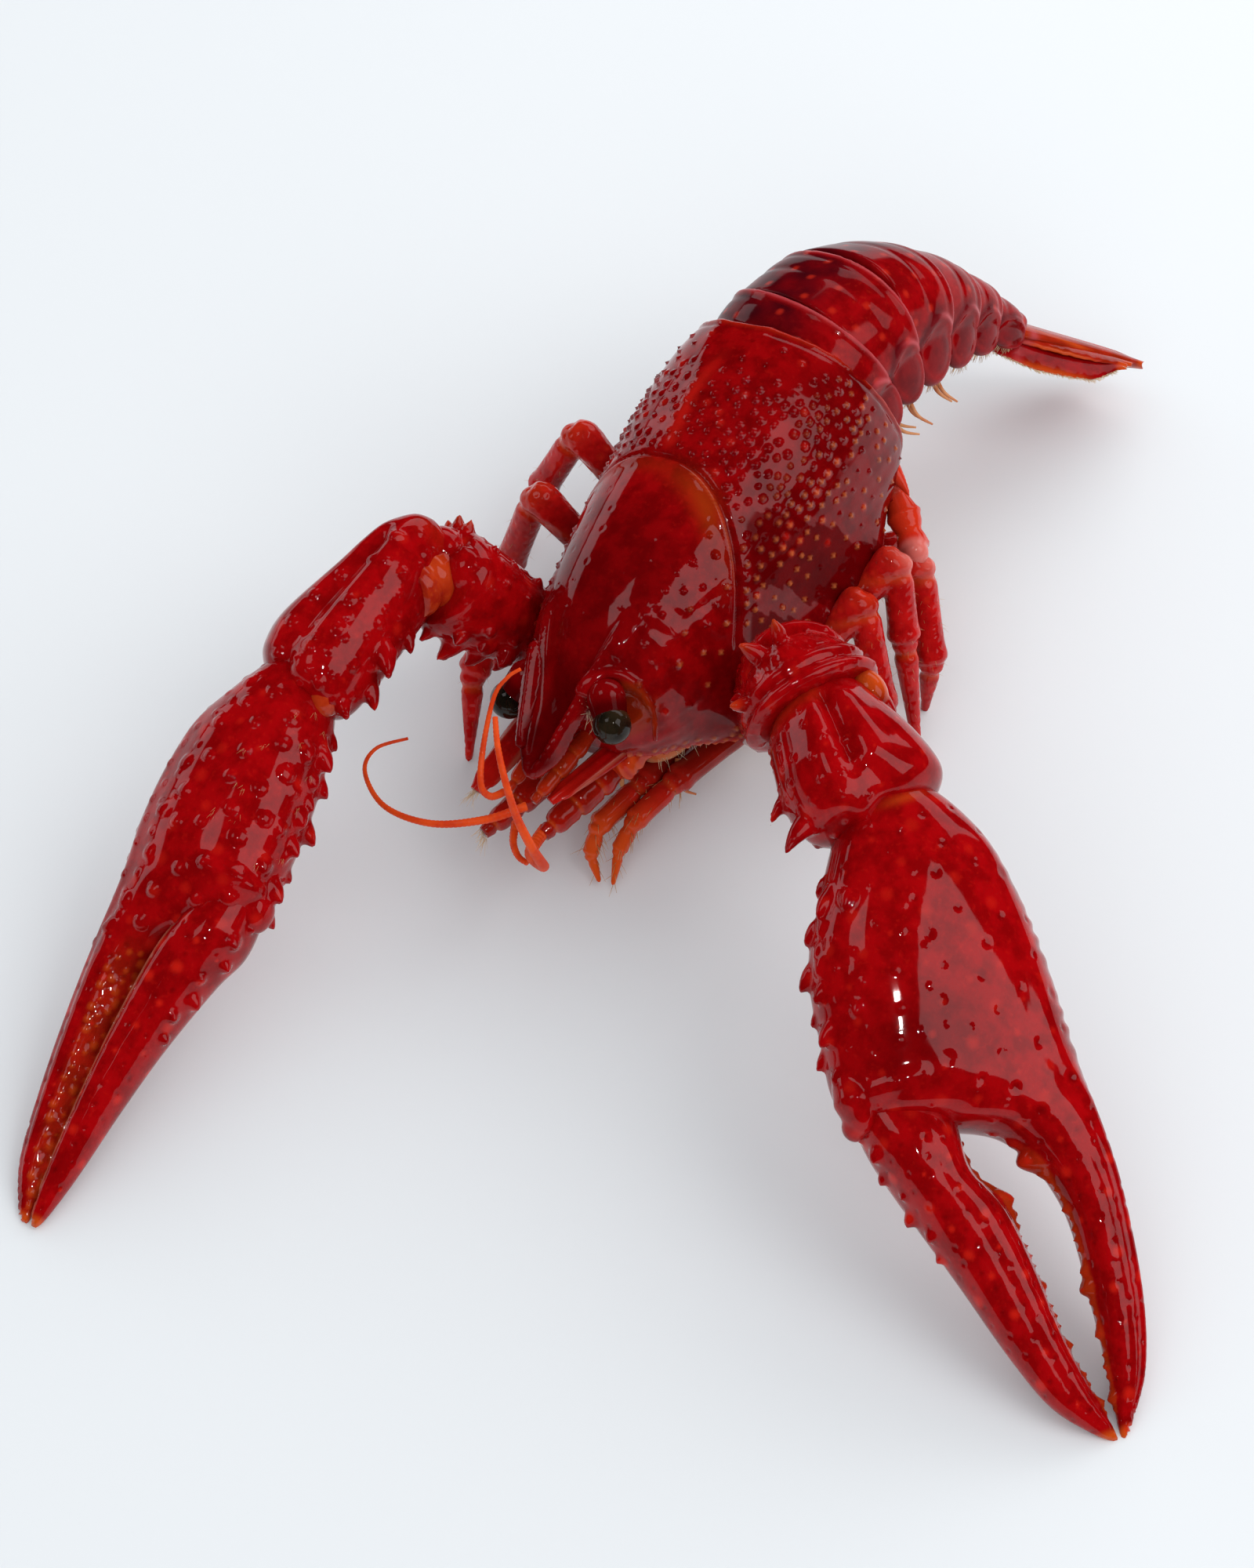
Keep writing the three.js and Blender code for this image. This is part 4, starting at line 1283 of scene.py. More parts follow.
    def build_carpus(self, bench: Bench) -> None:
        """The wrist piece: two long lobes with a furrow between them."""
        clay = ring_skin(self.rows(self.carpus, 60), 72, oval)
        clay.join(self.spines(self.carpus, self.carpus_spines))
        clay.knead(self.grain, 3)
        y = clay.points[:, 1]
        u, up = self.across(clay.points, self.carpus)
        start, end = self.carpus[0][0], self.carpus[-1][0]
        middle, drift, first, last, deep, wide, swell = self.furrow
        line = u - middle - drift * (y - first)
        run = ease(y, first - 1.5, first + 1) * ease(-y, -last - 2, -last + 1)
        top = ease(up, 0.15, 0.6)
        lobes = hill(line - 0.17 - wide, 0.2) + hill(line + 0.21 + wide, 0.22)
        height = -deep * hill(line, wide) * run * top
        height += swell * lobes * top * ease(y, start + 1, start + 4)
        height -= 0.9 * ease(y, end - 4.5, end - 1.5) * hill(u - 0.05, 0.25) * top
        clay.lift(height)
        u, up = self.across(clay.points, self.carpus)
        far = y > start + 2
        if self.knobs:
            free = (up > 0.2) & (np.abs(line) > 0.18) & (u > -0.3) & far
            picked = clay.spots(np.where(free, 3.1, 0), 31)
            clay.lift(0.3 * clay.domes(picked, 0.7, 0.8), (0, 0.35, 0))
        inner = (u > 0.45 - 0.3 * (y > end - 7)) & (up > -0.6) & far
        picked = clay.spots(np.where(inner, 1.9, 0), 33)
        clay.lift(0.2 * clay.domes(picked, 0.42, 0.9), (0, 0.3, 0))
        self.freckle(clay, 3.6, 32)
        # painted shade on the underside
        clay.stain(Tint.DARK, 0.35 * ease(-up, -0.2, 0.8))
        root = ease(-y, -start - 3, -start - 1) * ease(u, 0.0, 0.3)
        clay.stain(Tint.AMBER, self.root_amber * root)
        self.hand_over(bench, clay, "carpus")

    def build_palm(self, bench: Bench) -> None:
        """The palm and its fixed finger."""
        clay = ring_skin(self.rows(self.palm, 140), 80, oval)
        first, last, count, height, radius, lift = self.palm_spines
        upper = (first + 1, last - 1.5, count, height * 0.6, radius, lift + 0.4)
        clay.join(self.spines(self.palm, self.palm_spines))
        clay.join(self.spines(self.palm, upper))
        clay.join(self.cutting_teeth(self.palm, 1, self.teeth[0]))
        clay.join([ball(centre, radii) for centre, radii in self.boss])
        clay.knead(self.grain, 3)
        knuckle = self.dactyl[0][0] + 2
        y = clay.points[:, 1]
        u, up = self.across(clay.points, self.palm)
        finger = ease(y, knuckle + 5, knuckle + 13)
        top = ease(up, 0.1, 0.5)
        height = finger * top * ribs(u, self.palm_ribs)
        height += 0.35 * hill(u + 0.8, 0.12) * top * ease(y, 3, 9)
        scallop = 0.5 + 0.5 * np.cos(3.3 * y + 0.9 * np.sin(0.8 * y)) * np.cos(0.37 * y)
        rim = hill(u + 0.97, 0.08) * ease(up, -0.3, 0.1) * ease(y, 6, 14)
        clay.lift(height + self.rim_rise * rim * scallop)
        fold = hill(y - knuckle + 0.6, 0.8) * ease(u, 0.3, 0.55)
        clay.lift(self.fold_rise * fold * ease(up, 0.0, 0.3))
        self.knob_or_pit(clay, u, up, finger)
        self.freckle(clay, 3.0, 41, finger)
        if self.knobs:
            facing = finger * ease(u, 0.05, 0.6) * top
            picked = clay.spots(np.where(facing > 0.4, 1.0, 0), 57)
            size = default_rng(59).uniform(0.2, 0.6, len(picked))
            speckle = clay.domes(picked, size)
            clay.lift(0.08 * speckle)
            clay.stain(Tint.AMBER, 0.5 * speckle + 0.12 * facing)
        else:
            shade = hill(y - knuckle + 3.5, 4.0) * hill(u - 0.35, 0.5) * top
            clay.stain(Tint.DARK, 0.7 * shade)
            clay.stain(Tint.AMBER, 0.4 * hill(y - 1.2, 0.45) * hill(u + 0.1, 0.4) * top)
        self.edge_tint(clay, ease(u, 0.93, 1.03) * finger, self.palm[-1][0])
        self.hand_over(bench, clay, "palm")
        if self.knobs:
            self.tufts(bench, clay)

    def tufts(self, bench: Bench, clay: Clay) -> None:
        """Short pale hairs on the far side of the palm's knobs."""
        palm = self.frame_of("palm")
        p = palm.into(clay.points / MM - bench.shift)
        u, up = self.across(p, self.palm)
        ready = (u > 0.3) & (up > 0.0) & (p[:, 1] > 2.5) & (p[:, 1] < self.dactyl[0][0])
        rng = default_rng(57)
        picked = rng.choice(np.flatnonzero(ready), self.tuft_count, replace=False)
        picked = np.repeat(picked, self.tuft_hairs)
        roots = p[picked] + rng.normal(0, 0.16, (len(picked), 3))
        towards = (clay.normals @ palm.turn)[picked] * 0.45 + (0, 0.8, 0)
        towards += rng.normal(0, 0.25, (len(picked), 3))
        bristles = hairs(roots, towards, rng.uniform(0.5, 0.9, len(picked)), 0.014)
        bench.set_down(bristles, palm, f"claw_{self.name}_palm_tufts", HAIR)

    def knob_or_pit(self, clay: Clay, u: Array, up: Array, finger: Array) -> None:
        """Low domes on the knobbly claw, small pits and beads on the smooth one.

        Args:
            clay: The palm.
            u: Place across it, from -1 to 1.
            up: Height over its middle.
            finger: How far a point is on the finger, between 0 and 1.
        """
        free = (up > 0.15) & (finger < 0.2) & (np.abs(u) < 0.9) & (clay.points[:, 1] > 2.5)
        if self.knobs:
            picked = clay.spots(np.where(free & (u > -0.45), 2.7, 0), 51)
            size = default_rng(52).uniform(0.65, 0.95, len(picked))
            clay.lift(0.3 * clay.domes(picked, size, 0.75), (0, 0.5, 0))
            small = (up > -0.3) & (u < -0.3) & (finger < 0.5)
            picked = clay.spots(np.where(small, 1.9, 0), 53)
            clay.lift(0.13 * clay.domes(picked, 0.5, 0.9), (0, 0.5, 0))
        else:
            picked = clay.spots(np.where(free & (u < 0.2), 3.0, 0), 54)
            size = default_rng(58).uniform(0.4, 0.75, len(picked))
            pits = clay.domes(picked, size, 1.2)
            clay.lift(-0.13 * pits)
            clay.stain(Tint.DARK, 0.5 * pits)
            picked = clay.spots(np.where(free & (u > 0.1), 2.3, 0), 55)
            clay.lift(0.12 * clay.domes(picked, 0.36))
        self.pit(clay, (finger > 0.3) & (up > 0.2), 56)

    def build_dactyl(self, bench: Bench) -> None:
        """The movable finger with its crest."""
        clay = ring_skin(self.rows(self.dactyl, 100), 64, oval)
        start, end = self.dactyl[0][0], self.dactyl[-1][0]
        clay.join(self.spines(self.dactyl, (start + 4.5, start + 17, 7, 0.9, 0.75, 0.1)))
        clay.join(self.cutting_teeth(self.dactyl, -1, self.teeth[1]))
        clay.knead(self.grain, 3)
        y = clay.points[:, 1]
        u, up = self.across(clay.points, self.dactyl)
        along = ease(y, start + 4, start + 9)
        top = ease(up, 0.1, 0.5)
        clay.lift(along * top * ribs(u, self.dactyl_ribs))
        if self.knobs:
            crest = along * top * hill(u + 0.72, 0.1)
            clay.lift(0.22 * crest)
            # pale painted highlight along the crest
            clay.stain(Tint.PALE, 0.25 * crest)
            clay.stain(Tint.AMBER, 0.5 * hill(y - start - 2.2, 0.4) * top)
        self.pit(clay, (up > 0.2) & (along > 0.5), 61)
        self.freckle(clay, 2.6, 62, along)
        self.edge_tint(clay, ease(-u, 0.93, 1.03) * along, end)
        self.hand_over(bench, clay, "dactyl")

    def cutting_teeth(self, stations: Rows, edge: int,
                      big: Sequence[tuple]) -> list[Clay]:
        """Blunt teeth along a finger's inner or outer edge.

        Args:
            stations: Rows of the finger.
            edge: 1 for the inner edge, -1 for the outer.
            big: Where large teeth stand and how tall they are.

        Returns:
            The teeth.
        """
        rows = self.rows(stations, 160)
        places = np.arange(self.dactyl[0][0] + 8, stations[-1][0] - 2.5, self.tooth_gap)
        small = [(y, 0.44 + 0.16 * (i % 3 == 0) + 0.1 * (i % 2)) for i, y in enumerate(places)]
        out = edge * self.side
        made = []
        for y, height in [*small, *big]:
            ring = rows[np.argmin(np.abs(rows[:, 0] - y))]
            root = (ring[1] + 0.96 * ring[3] * out, y, 0.12 * ring[4])
            girth = (1.05 if height > 0.6 else 0.8) * height
            made.append(thorn(root, (out, 0.1, 0.12), 1.15 * height, girth))
        return made

    def freckle(self, clay: Clay, gap: float, seed: int, more: Array | None = None) -> None:
        """Soft bright spots in the shell.

        Args:
            clay: The piece.
            gap: Distance between spots.
            seed: Seed of their places.
            more: Where they are stronger, between 0 and 1.
        """
        picked = clay.spots(gap, seed)
        size = default_rng(seed).uniform(0.2, 0.85, len(picked))
        strength = 0.35 if more is None else 0.35 + 0.35 * more
        clay.stain(Tint.BRIGHT, strength * clay.domes(picked, size))

    def edge_tint(self, clay: Clay, teeth: Array, end: float) -> None:
        """Amber on a finger's teeth and at its tip.

        Args:
            clay: The finger.
            teeth: Where teeth stand, between 0 and 1.
            end: Where the finger ends.
        """
        clay.stain(Tint.AMBER, self.edge_amber * teeth)
        clay.stain(Tint.AMBER, ease(clay.points[:, 1], end - 1.4, end - 0.5))

    def build_membranes(self, bench: Bench) -> None:
        """Soft orange skin in the elbow and the wrist, with the knob of the elbow's hinge."""
        merus, carpus, palm = (self.frame_of(piece) for piece in ("merus", "carpus", "palm"))
        far, end = self.carpus[-1][0], self.merus[-1][0]
        if self.knobs:
            girth = 2.9
            elbow = [merus.out([0, end - 2.5, 0]), merus.out([0, end + 0.4, 0]),
                     carpus.out([-1.2, 2.8, -0.6])]
        else:
            near, inner, outer, *_ = self.collar[-1]
            girth = 0.34 * (inner - outer)
            elbow = [carpus.out([0, near + step, 0]) for step in (-3.5, -1, 1.2)]
            self.hinge(bench, carpus, (-self.side * 1.02 * girth, near + 1.3, 2.2))
        wrist = [carpus.out([0, far - 5, 0]), carpus.out([0, far - 1.5, 0]),
                 palm.out([0, 0.5, 0]), palm.out([0, 3, 0])]
        ripple = 1 + 0.04 * np.sin(np.linspace(0, 24, 24))
        for name, points, radius in (("elbow", elbow, girth), ("wrist", wrist, self.wrist_girth)):
            skin = tube(even_path(points, 24), radius * ripple, 40)
            if self.knobs and name == "wrist":
                skin.join([ball((self.side * 3.9, 0.4, 0.6), (1.9, 2.6, 2.0), 24).moved(palm)])
            bench.set_down(skin, WORLD, f"claw_{self.name}_{name}_skin", SOFT)

    def hinge(self, bench: Bench, carpus: Place, middle: Numbers) -> None:
        """The orange knob of the elbow's hinge with its red point."""
        knob = ball(middle, (1.6, 2.3, 1.9), 32)
        point = np.add(middle, (-self.side * 0.5, 1.7, -0.2))
        knob.join([thorn(point, (-self.side * 0.35, 0.9, -0.1), 1.7, 1.0)]).knead(0.16, 3)
        away = norm(knob.points - middle, axis=1)
        knob.stain(Tint.AMBER, 0.95 * ease(-away, -2.3, -1.7))
        bench.set_down(knob, carpus, f"claw_{self.name}_elbow_knob", LIMB)


LEFT_CLAW = Claw(
    name="left", side=1, shoulder=(11.4, -3.2, 8.2), elbow=(19.4, -10.7, 28.0),
    wrist=(31.9, -17.9, 26.0), tip=(75.6, -51.3, 0.1), tilt=4,
    palm=((-1.5, 2.6, -3.2, 3.0, 3.0), (2.5, 5.4, -6.2, 4.6, 4.4), (7.0, 8.4, -8.2, 5.8, 5.2),
          (12.5, 11.6, -9.0, 6.4, 5.8), (19.0, 13.0, -9.2, 6.4, 6.0), (26.0, 13.4, -8.9, 5.8, 5.6),
          (29.6, 7.0, -8.7, 4.9, 4.8), (33.0, 0.0, -8.6, 4.2, 4.0), (40.0, -3.0, -8.2, 3.4, 3.3),
          (49.5, -2.2, -6.6, 2.6, 2.5), (56.0, -1.2, -4.4, 1.6, 1.5), (60.0, -0.4, -1.5, 0.6, 0.6),
          (61.4, -0.2, -0.5, 0.2, 0.2)),
    dactyl=((24.0, 12.0, 5.4, 1.8, 3.0), (27.0, 12.7, 4.3, 3.2, 4.2), (30.5, 12.5, 4.2, 4.2, 4.4),
            (34.5, 11.5, 4.5, 4.2, 4.0), (38.5, 10.4, 2.7, 3.8, 3.5), (44.0, 8.8, 2.0, 3.2, 3.0),
            (51.0, 6.9, 1.7, 2.4, 2.3), (56.5, 4.9, 0.9, 1.6, 1.6), (60.0, 2.1, 0.1, 0.7, 0.7),
            (61.3, 0.5, 0.0, 0.2, 0.2)),
    carpus=((3.0, 4.0, -3.4, 4.0, 4.0), (4.3, 5.4, -4.5, 5.0, 5.0), (7.0, 6.6, -5.2, 5.7, 5.5),
            (11.0, 7.8, -6.3, 6.1, 5.8), (14.6, 7.6, -6.7, 5.6, 5.3), (16.2, 6.0, -5.6, 4.4, 4.2),
            (16.9, 4.2, -3.6, 2.8, 2.8)),
    collar=((-2.6, 3.4, -3.4, 3.4, 3.4), (-0.6, 5.4, -5.0, 5.0, 4.8), (1.6, 6.6, -6.1, 5.9, 5.7),
            (3.2, 7.0, -6.5, 6.1, 5.9), (3.9, 6.4, -6.0, 5.6, 5.4)),
    merus=((0.0, 2.6, -2.4, 2.8, 2.8), (7.0, 3.4, -3.6, 4.0, 3.8), (15.0, 4.4, -5.0, 5.0, 4.8),
           (21.5, 4.9, -5.7, 5.4, 5.2), (23.6, 4.4, -5.2, 5.0, 4.8)),
    palm_spines=(6.0, 22.6, 10, 1.7, 0.9, 0.05), carpus_spines=(10.4, 14.2, 2, 3.2, 0.85, -0.1),
    merus_spines=(15.0, 19.0, 2, 1.4, 0.7, -0.3),
    extra_thorns=(((3.6, -2.4, 3.0), (0.7, -0.4, 0.6), 2.2),
                  ((1.2, -2.8, 4.4), (0.2, -0.5, 0.9), 1.7),
                  ((6.6, 1.2, 1.4), (0.9, -0.1, 0.3), 1.6)),
    furrow=(0.1, 0.02, 4.5, 12.5, 0.9, 0.13, 0.45),
    boss=(((12.6, 25.4, 1.2), (1.7, 3.2, 2.2)), ((13.2, 27.6, 0.4), (1.1, 1.3, 1.3))),
    teeth=(((33.4, 0.8), (35.2, 1.7), (36.8, 0.9), (47.8, 1.1)),
           ((33.6, 0.7), (35.0, 0.8), (36.5, 0.9), (38.0, 1.4), (39.4, 1.0))),
    rim_rise=0.2, fold_rise=0.35, root_amber=0.14, edge_amber=0.3, knobs=False)
RIGHT_CLAW = Claw(
    name="right", side=-1, shoulder=(-9.6, -4.4, 8.6), elbow=(-19.7, -14.4, 24.2),
    wrist=(-23.4, -29.2, 20.0), tip=(-19.7, -81.8, 0.5), tilt=20,
    palm=((-1.5, 2.4, -2.6, 3.0, 3.0), (2.5, 4.6, -5.2, 4.6, 4.4), (7.0, 6.0, -7.2, 5.6, 5.2),
          (12.5, 7.0, -8.0, 6.0, 5.6), (18.0, 7.4, -7.9, 6.0, 5.6), (22.5, 7.4, -7.4, 5.4, 5.2),
          (26.0, 3.2, -7.1, 4.4, 4.4), (30.0, -0.8, -6.8, 3.6, 3.6), (37.5, -1.3, -6.2, 2.9, 2.8),
          (45.0, -1.4, -5.2, 2.2, 2.1), (51.5, -1.2, -3.9, 1.5, 1.4), (55.6, -0.7, -1.9, 0.6, 0.6),
          (57.0, -0.6, -0.9, 0.2, 0.2)),
    dactyl=((19.5, 6.6, 1.9, 2.0, 2.6), (23.0, 7.4, 1.3, 3.4, 3.6), (26.5, 7.4, 0.8, 3.9, 3.8),
            (30.0, 6.0, 0.0, 3.6, 3.4), (37.0, 4.0, -0.6, 2.9, 2.8), (44.0, 2.7, -0.7, 2.3, 2.2),
            (51.0, 1.8, -0.6, 1.5, 1.5), (55.6, 1.0, -0.2, 0.7, 0.7), (57.0, 0.5, 0.2, 0.2, 0.2)),
    carpus=((-4.2, -0.4, -1.8, 1.6, 1.6), (-3.2, 0.6, -3.2, 3.2, 3.0), (-0.6, 1.9, -4.4, 4.5, 4.4),
            (2.0, 3.2, -4.9, 4.9, 4.8), (5.0, 4.0, -5.1, 5.1, 5.0),
            (12.0, 5.7, -6.1, 5.3, 5.0), (15.4, 6.0, -5.4, 4.7, 4.5), (16.8, 4.8, -4.2, 3.6, 3.4),
            (17.4, 3.2, -2.8, 2.4, 2.4)),
    merus=((0.0, 3.4, -2.0, 2.8, 3.0), (6.0, 4.4, -2.4, 3.8, 4.4), (12.0, 4.9, -3.6, 4.8, 5.2),
           (16.4, 5.0, -4.4, 5.2, 5.2), (17.8, 4.5, -4.0, 4.7, 4.6)),
    palm_spines=(4.2, 22.0, 9, 1.6, 0.95, -0.3), carpus_spines=(6.0, 15.4, 4, 2.3, 1.0, -0.3),
    merus_spines=(7.0, 16.6, 7, 2.0, 0.9, -0.75),
    extra_thorns=(((3.4, 16.9, 3.0), (0.78, 0.1, 0.62), 1.9),
                  ((2.4, 17.0, 3.7), (0.7, 0.0, 0.7), 2.3),
                  ((1.3, 16.9, 4.2), (0.6, -0.1, 0.78), 2.0)),
    furrow=(-0.12, 0.012, 0.0, 13.0, 1.1, 0.26, 0.1),
    boss=(((-7.2, 22.4, -0.6), (1.3, 2.0, 1.8)),),
    teeth=(((33.0, 0.8), (36.5, 0.5)), ((34.5, 0.5),)),
    rim_rise=0.05, fold_rise=0.6, root_amber=0.06, edge_amber=0.35, knobs=True,
    lumps=(((1.5, 18.4, 1.6), (2.7, 2.3, 2.7)), ((-1.8, 17.8, 2.2), (2.2, 1.6, 2.2))))


@dataclass
class Legs:
    """The eight walking legs."""

    # Name, hip in the body's frame, knee, ankle and foot
    routes: tuple = (
        ("left_1", (8.0, 22, 3.0), (16.1, 8.6, 17.0), (21.1, 4.4, 8.0), (24.0, 3.0, -0.25)),
        ("left_2", (8.0, 29, 3.0), (16.9, 14.0, 18.0), (19.9, 10.8, 11.0), (24.6, 6.2, -0.25)),
        ("left_3", (8.0, 36, 3.0), (17.6, 17.8, 14.0), (21.8, 13.4, 6.0), (22.2, 11.9, -0.25)),
        ("left_4", (7.4, 42, 3.4), (14.4, 21.8, 10.6), (17.2, 20.0, 5.0), (18.9, 18.6, -0.25)),
        ("right_1", (-8.0, 22, 2.6), (-15.5, -5.0, 12.0), (-15.8, -11.4, 7.0),
         (-13.5, -16.3, -0.25)),
        ("right_2", (-8.0, 29, 2.6), (-18.5, 5.4, 15.0), (-20.8, 3.5, 5.0), (-20.2, 0.3, -0.25)),
        ("right_3", (-8.0, 36, 2.6), (-18.7, 13.7, 16.0), (-21.8, 11.6, 8.0), (-23.7, 8.9, -0.25)),
        ("right_4", (-7.4, 42, 3.0), (-13.0, 20.0, 11.0), (-15.0, 22.0, 5.0), (-14.0, 24.0, -0.25)))
    spike: tuple = ((11.5, 22.5, 19.8), (12.4, 22.3, 19.35))
    frill: tuple = ((12.3, 22.0, 17.0), (14.4, 20.5, 16.0), (16.8, 18.2, 15.0))
    frill_radii: tuple = (1.2, 1.75, 1.5)
    pale_knees: tuple = ("left_2", "left_3")
    radii: tuple = (1.6, 1.7, 1.5, 0.3)
    grain: float = 0.2

    def build(self, bench: Bench) -> None:
        """Model and dress all legs, with the orange skin at the hindmost left hip."""
        for name, root, *bends in self.routes:
            self.leg(bench, name, [BODY.out(root), *(np.array(bend) for bend in bends)])
        self.hip(bench)

    def leg(self, bench: Bench, name: str, joints: Sequence[Array]) -> None:
        """One leg, with painted shade towards its hip, and its bristles."""
        clay = limb(joints, self.radii, self.grain)
        p = clay.points
        p[:, 2] = np.maximum(p[:, 2], 0)
        clay.points = p
        p = p - joints[1]
        clay.stain(Tint.AMBER, 0.2 * hill(norm(p, axis=1) - 1.2, 0.7))
        line = unit(joints[0] - joints[1])
        inward = p @ line
        off = norm(p - inward[:, None] * line, axis=1)
        # painted shade on the upper leg towards the hip
        clay.stain(Tint.DARK, 0.8 * ease(inward, 1.5, 6) * (off < 2.2))
        if name in self.pale_knees:
            away = norm(p - (1.3, 0.9, 0.2), axis=1)
            clay.stain(Tint.PALE, 0.85 * hill(away, 1.5))
        picked = clay.spots(0.8, 71)
        clay.lift(-0.07 * clay.domes(picked, 0.3))
        clay.stain(Tint.BRIGHT, 0.4 * clay.domes(picked[::4], 0.5))
        bristles = self.bristles(clay, joints)
        bench.set_down(clay, WORLD, f"leg_{name}_shell", LEG, (f"leg_{name}",))
        bench.set_down(bristles, WORLD, f"leg_{name}_bristles", HAIR)

    def hip(self, bench: Bench) -> None:
        """The fold of skin and the spike at the hindmost left hip."""
        foot, tip = (np.array(point) for point in self.spike)
        inner, _, outer = bends = [np.array(point) for point in self.frill]
        clay = limb(bends, self.frill_radii, self.grain)
        clay.join([ball(outer + (0.4, -0.5, 0.2), (1.3, 1.3, 1.5), 24)])
        path = np.linspace(foot + (0.0, 0.3, -0.2), inner + (0.3, -0.2, -0.3), 12)
        spike = thorn(foot, tip - foot, 2.8, 1.0, (0.2, -0.3, 0))
        clay.join([spike, tube(path, np.full(12, 0.95), 20)]).knead(self.grain, 3)
        away = norm(clay.points - outer - (0.5, -0.6, 0.2), axis=1)
        between = norm(clay.points - 0.5 * (foot + inner), axis=1)
        clay.stain(Tint.BRIGHT, 0.5)
        clay.stain(Tint.AMBER, 0.35 * ease(away, 1.5, 2.5))
        clay.stain(Tint.PALE, 0.8 * ease(-away, -2.0, -1.4) + 0.6 * hill(between, 1.1))
        bench.set_down(clay, WORLD, "hip_left_skin", LEG)

    def bristles(self, clay: Clay, joints: Sequence[Array]) -> Clay:
        """Short stiff hairs along a leg's lower stretches."""
        rng = default_rng(72)
        p, normals = clay.points, clay.normals
        ready = np.flatnonzero((p[:, 2] < joints[1][2] - 2) & (p[:, 2] > 1))
        picked = rng.choice(ready, 50, replace=False)
        towards = normals[picked] + 0.6 * unit(joints[3] - joints[1]) + rng.normal(0, 0.15, (50, 3))
        return hairs(p[picked], towards, rng.uniform(0.4, 0.9, 50), 0.016)


@dataclass
class Abdomen:
    """The six tail rings with their side plates, and the small limbs under them."""

    # Place, half width, rise and drop
    joints: tuple = (
        (-0.9, 23.5, 23.5, 10.0, 8.4, 5.6), (-0.3, 28.6, 25.2, 9.6, 8.1, 5.4),
        (0.7, 33.6, 25.2, 9.2, 7.4, 5.2), (2.2, 38.8, 22.8, 8.4, 6.1, 5.2),
        (3.7, 43.1, 19.4, 7.4, 4.6, 4.5), (5.4, 47.0, 15.8, 6.3, 3.4, 3.4),
        (7.7, 51.0, 11.4, 5.0, 1.5, 2.2))
    hind_rim: tuple = ((0.35, 0.35, 0.07), (1.1, 0.4, -0.08))
    plate_rim: tuple = ((0.86, 0.1, 0.16), (0.0, 0.5, -0.05))
    darkness: tuple = (0.95, 0.95, 0.9, 0.75, 0.55, 0.4)
    fringe_hairs: int = 40
    tuck: float = 2.5
    step: float = 0.12
    up: tuple = (-0.38, 0.68, 0.62)
    grain: float = 0.24

    def frame_of(self, i: int) -> Place:
        """The frame of one ring."""
        u = (i + 0.5) / 6
        rise = (1 - u) * BODY.turn[:, 2] + u * np.asarray(self.up)
        return Place.aim(self.joints[i][:3], self.joints[i + 1][:3], up=rise)

    def build(self, bench: Bench) -> None:
        """Model and dress all rings."""
        for i in range(6):
            self.build_ring(bench, i)

    def build_ring(self, bench: Bench, i: int) -> None:
        """One ring: an arched plate, a lobe on each flank and the skin between."""
        place, node = self.frame_of(i), f"abdomen_{i + 1}"
        front, back = np.array(self.joints[i][3:]), np.array(self.joints[i + 1][3:])
        half, rise, drop = back
        length = float(norm(np.subtract(self.joints[i + 1][:3], self.joints[i][:3])))
        stations = [[-self.tuck, 0, 0, *(front - 2 * self.step)],
                    [length * 0.5, 0, 0, *(0.6 * front + 0.4 * back)],
                    [length, 0, 0, *(back + self.step)]]
        clay = ring_skin(smooth_rows(stations, 30), 96, oval)
        lobes = [self.lobe(side, length, back) for _, side in SIDES]
        clay.join([ball(centre, radii, 40) for centre, radii in lobes])
        clay.knead(self.grain, 4)
        x, y, z = clay.points.T
        from_hind, upper = length - y, ease(z, -1.5, 1.5)
        clay.lift(upper * (ribs(from_hind, self.hind_rim) - 0.1 * hill(y - 0.3 * length, 0.45)))
        x, y, z = clay.points.T
        clay.stain(Tint.PALE, 0.7 * ease(z, -0.5 * drop, 0) * hill(from_hind - 0.2, 0.2))
        crown = ease(z, 0.25 * rise, 0.7 * rise) * ease(-x, -0.8 * half, -0.15 * half)
        cloud = 0.8 + 0.2 * np.sin(1.1 * x + i) * np.sin(1.7 * y)
        clay.stain(Tint.DARK, self.darkness[i] * crown * cloud * ease(from_hind, 0.4, 1.0))
        self.side_plates(clay, lobes)
        picked = clay.spots(np.where(upper > 0.5, 2.8, 0), 81 + i)
        clay.stain(Tint.BRIGHT, 0.6 * clay.domes(picked, 0.5))
        low = ease(-z, 0.8 * drop, drop) * (np.abs(x) < 0.7 * half)
        clay.stain(Tint.AMBER, 0.8 * low)
        bench.set_down(clay, place, f"{node}_plate", TAIL, (node,))
        self.fringe(bench, i, place, lobes)
        if i in (1, 2, 3):
            self.swimmerets(bench, i, place, length, back)

    def side_plates(self, clay: Clay, lobes: Sequence[tuple]) -> None:
        """Raise and colour the rims of a ring's side plates: painted sheen behind, painted shade in
        front.
        """
        x, y, z = clay.points.T
        height = np.zeros(len(x))
        for (out, along, up), (_, long, tall) in lobes:
            away = np.hypot((y - along) / long, (z - up) / tall)
            near = ease(2.6 - np.abs(x - out), 0, 1) * (np.abs(x) > abs(out) - 0.6)
            behind = ease(y - along, -0.3 * long, 0.5 * long)
            height += near * ribs(away, self.plate_rim)
            # pale rim, strongest on the hind edge, where it is a painted sheen
            clay.stain(Tint.PALE, near * (0.1 + 0.8 * behind) * hill(away - 0.93, 0.08))
            clay.stain(Tint.DARK, 0.4 * near * ease(-away, -0.85, -0.5))
            # painted shade in the gap in front of each plate
            clay.stain(Tint.DARK, 0.7 * near * (1 - behind) * hill(away - 1.0, 0.22))
        clay.lift(height)

    def lobe(self, side: int, length: float, back: Array) -> tuple[tuple, tuple]:
        """Middle and half sizes of a side plate."""
        half, _, drop = back
        return (side * half * 0.86, length * 0.56, -drop * 0.66), (1.1, length * 0.48, drop * 0.72)

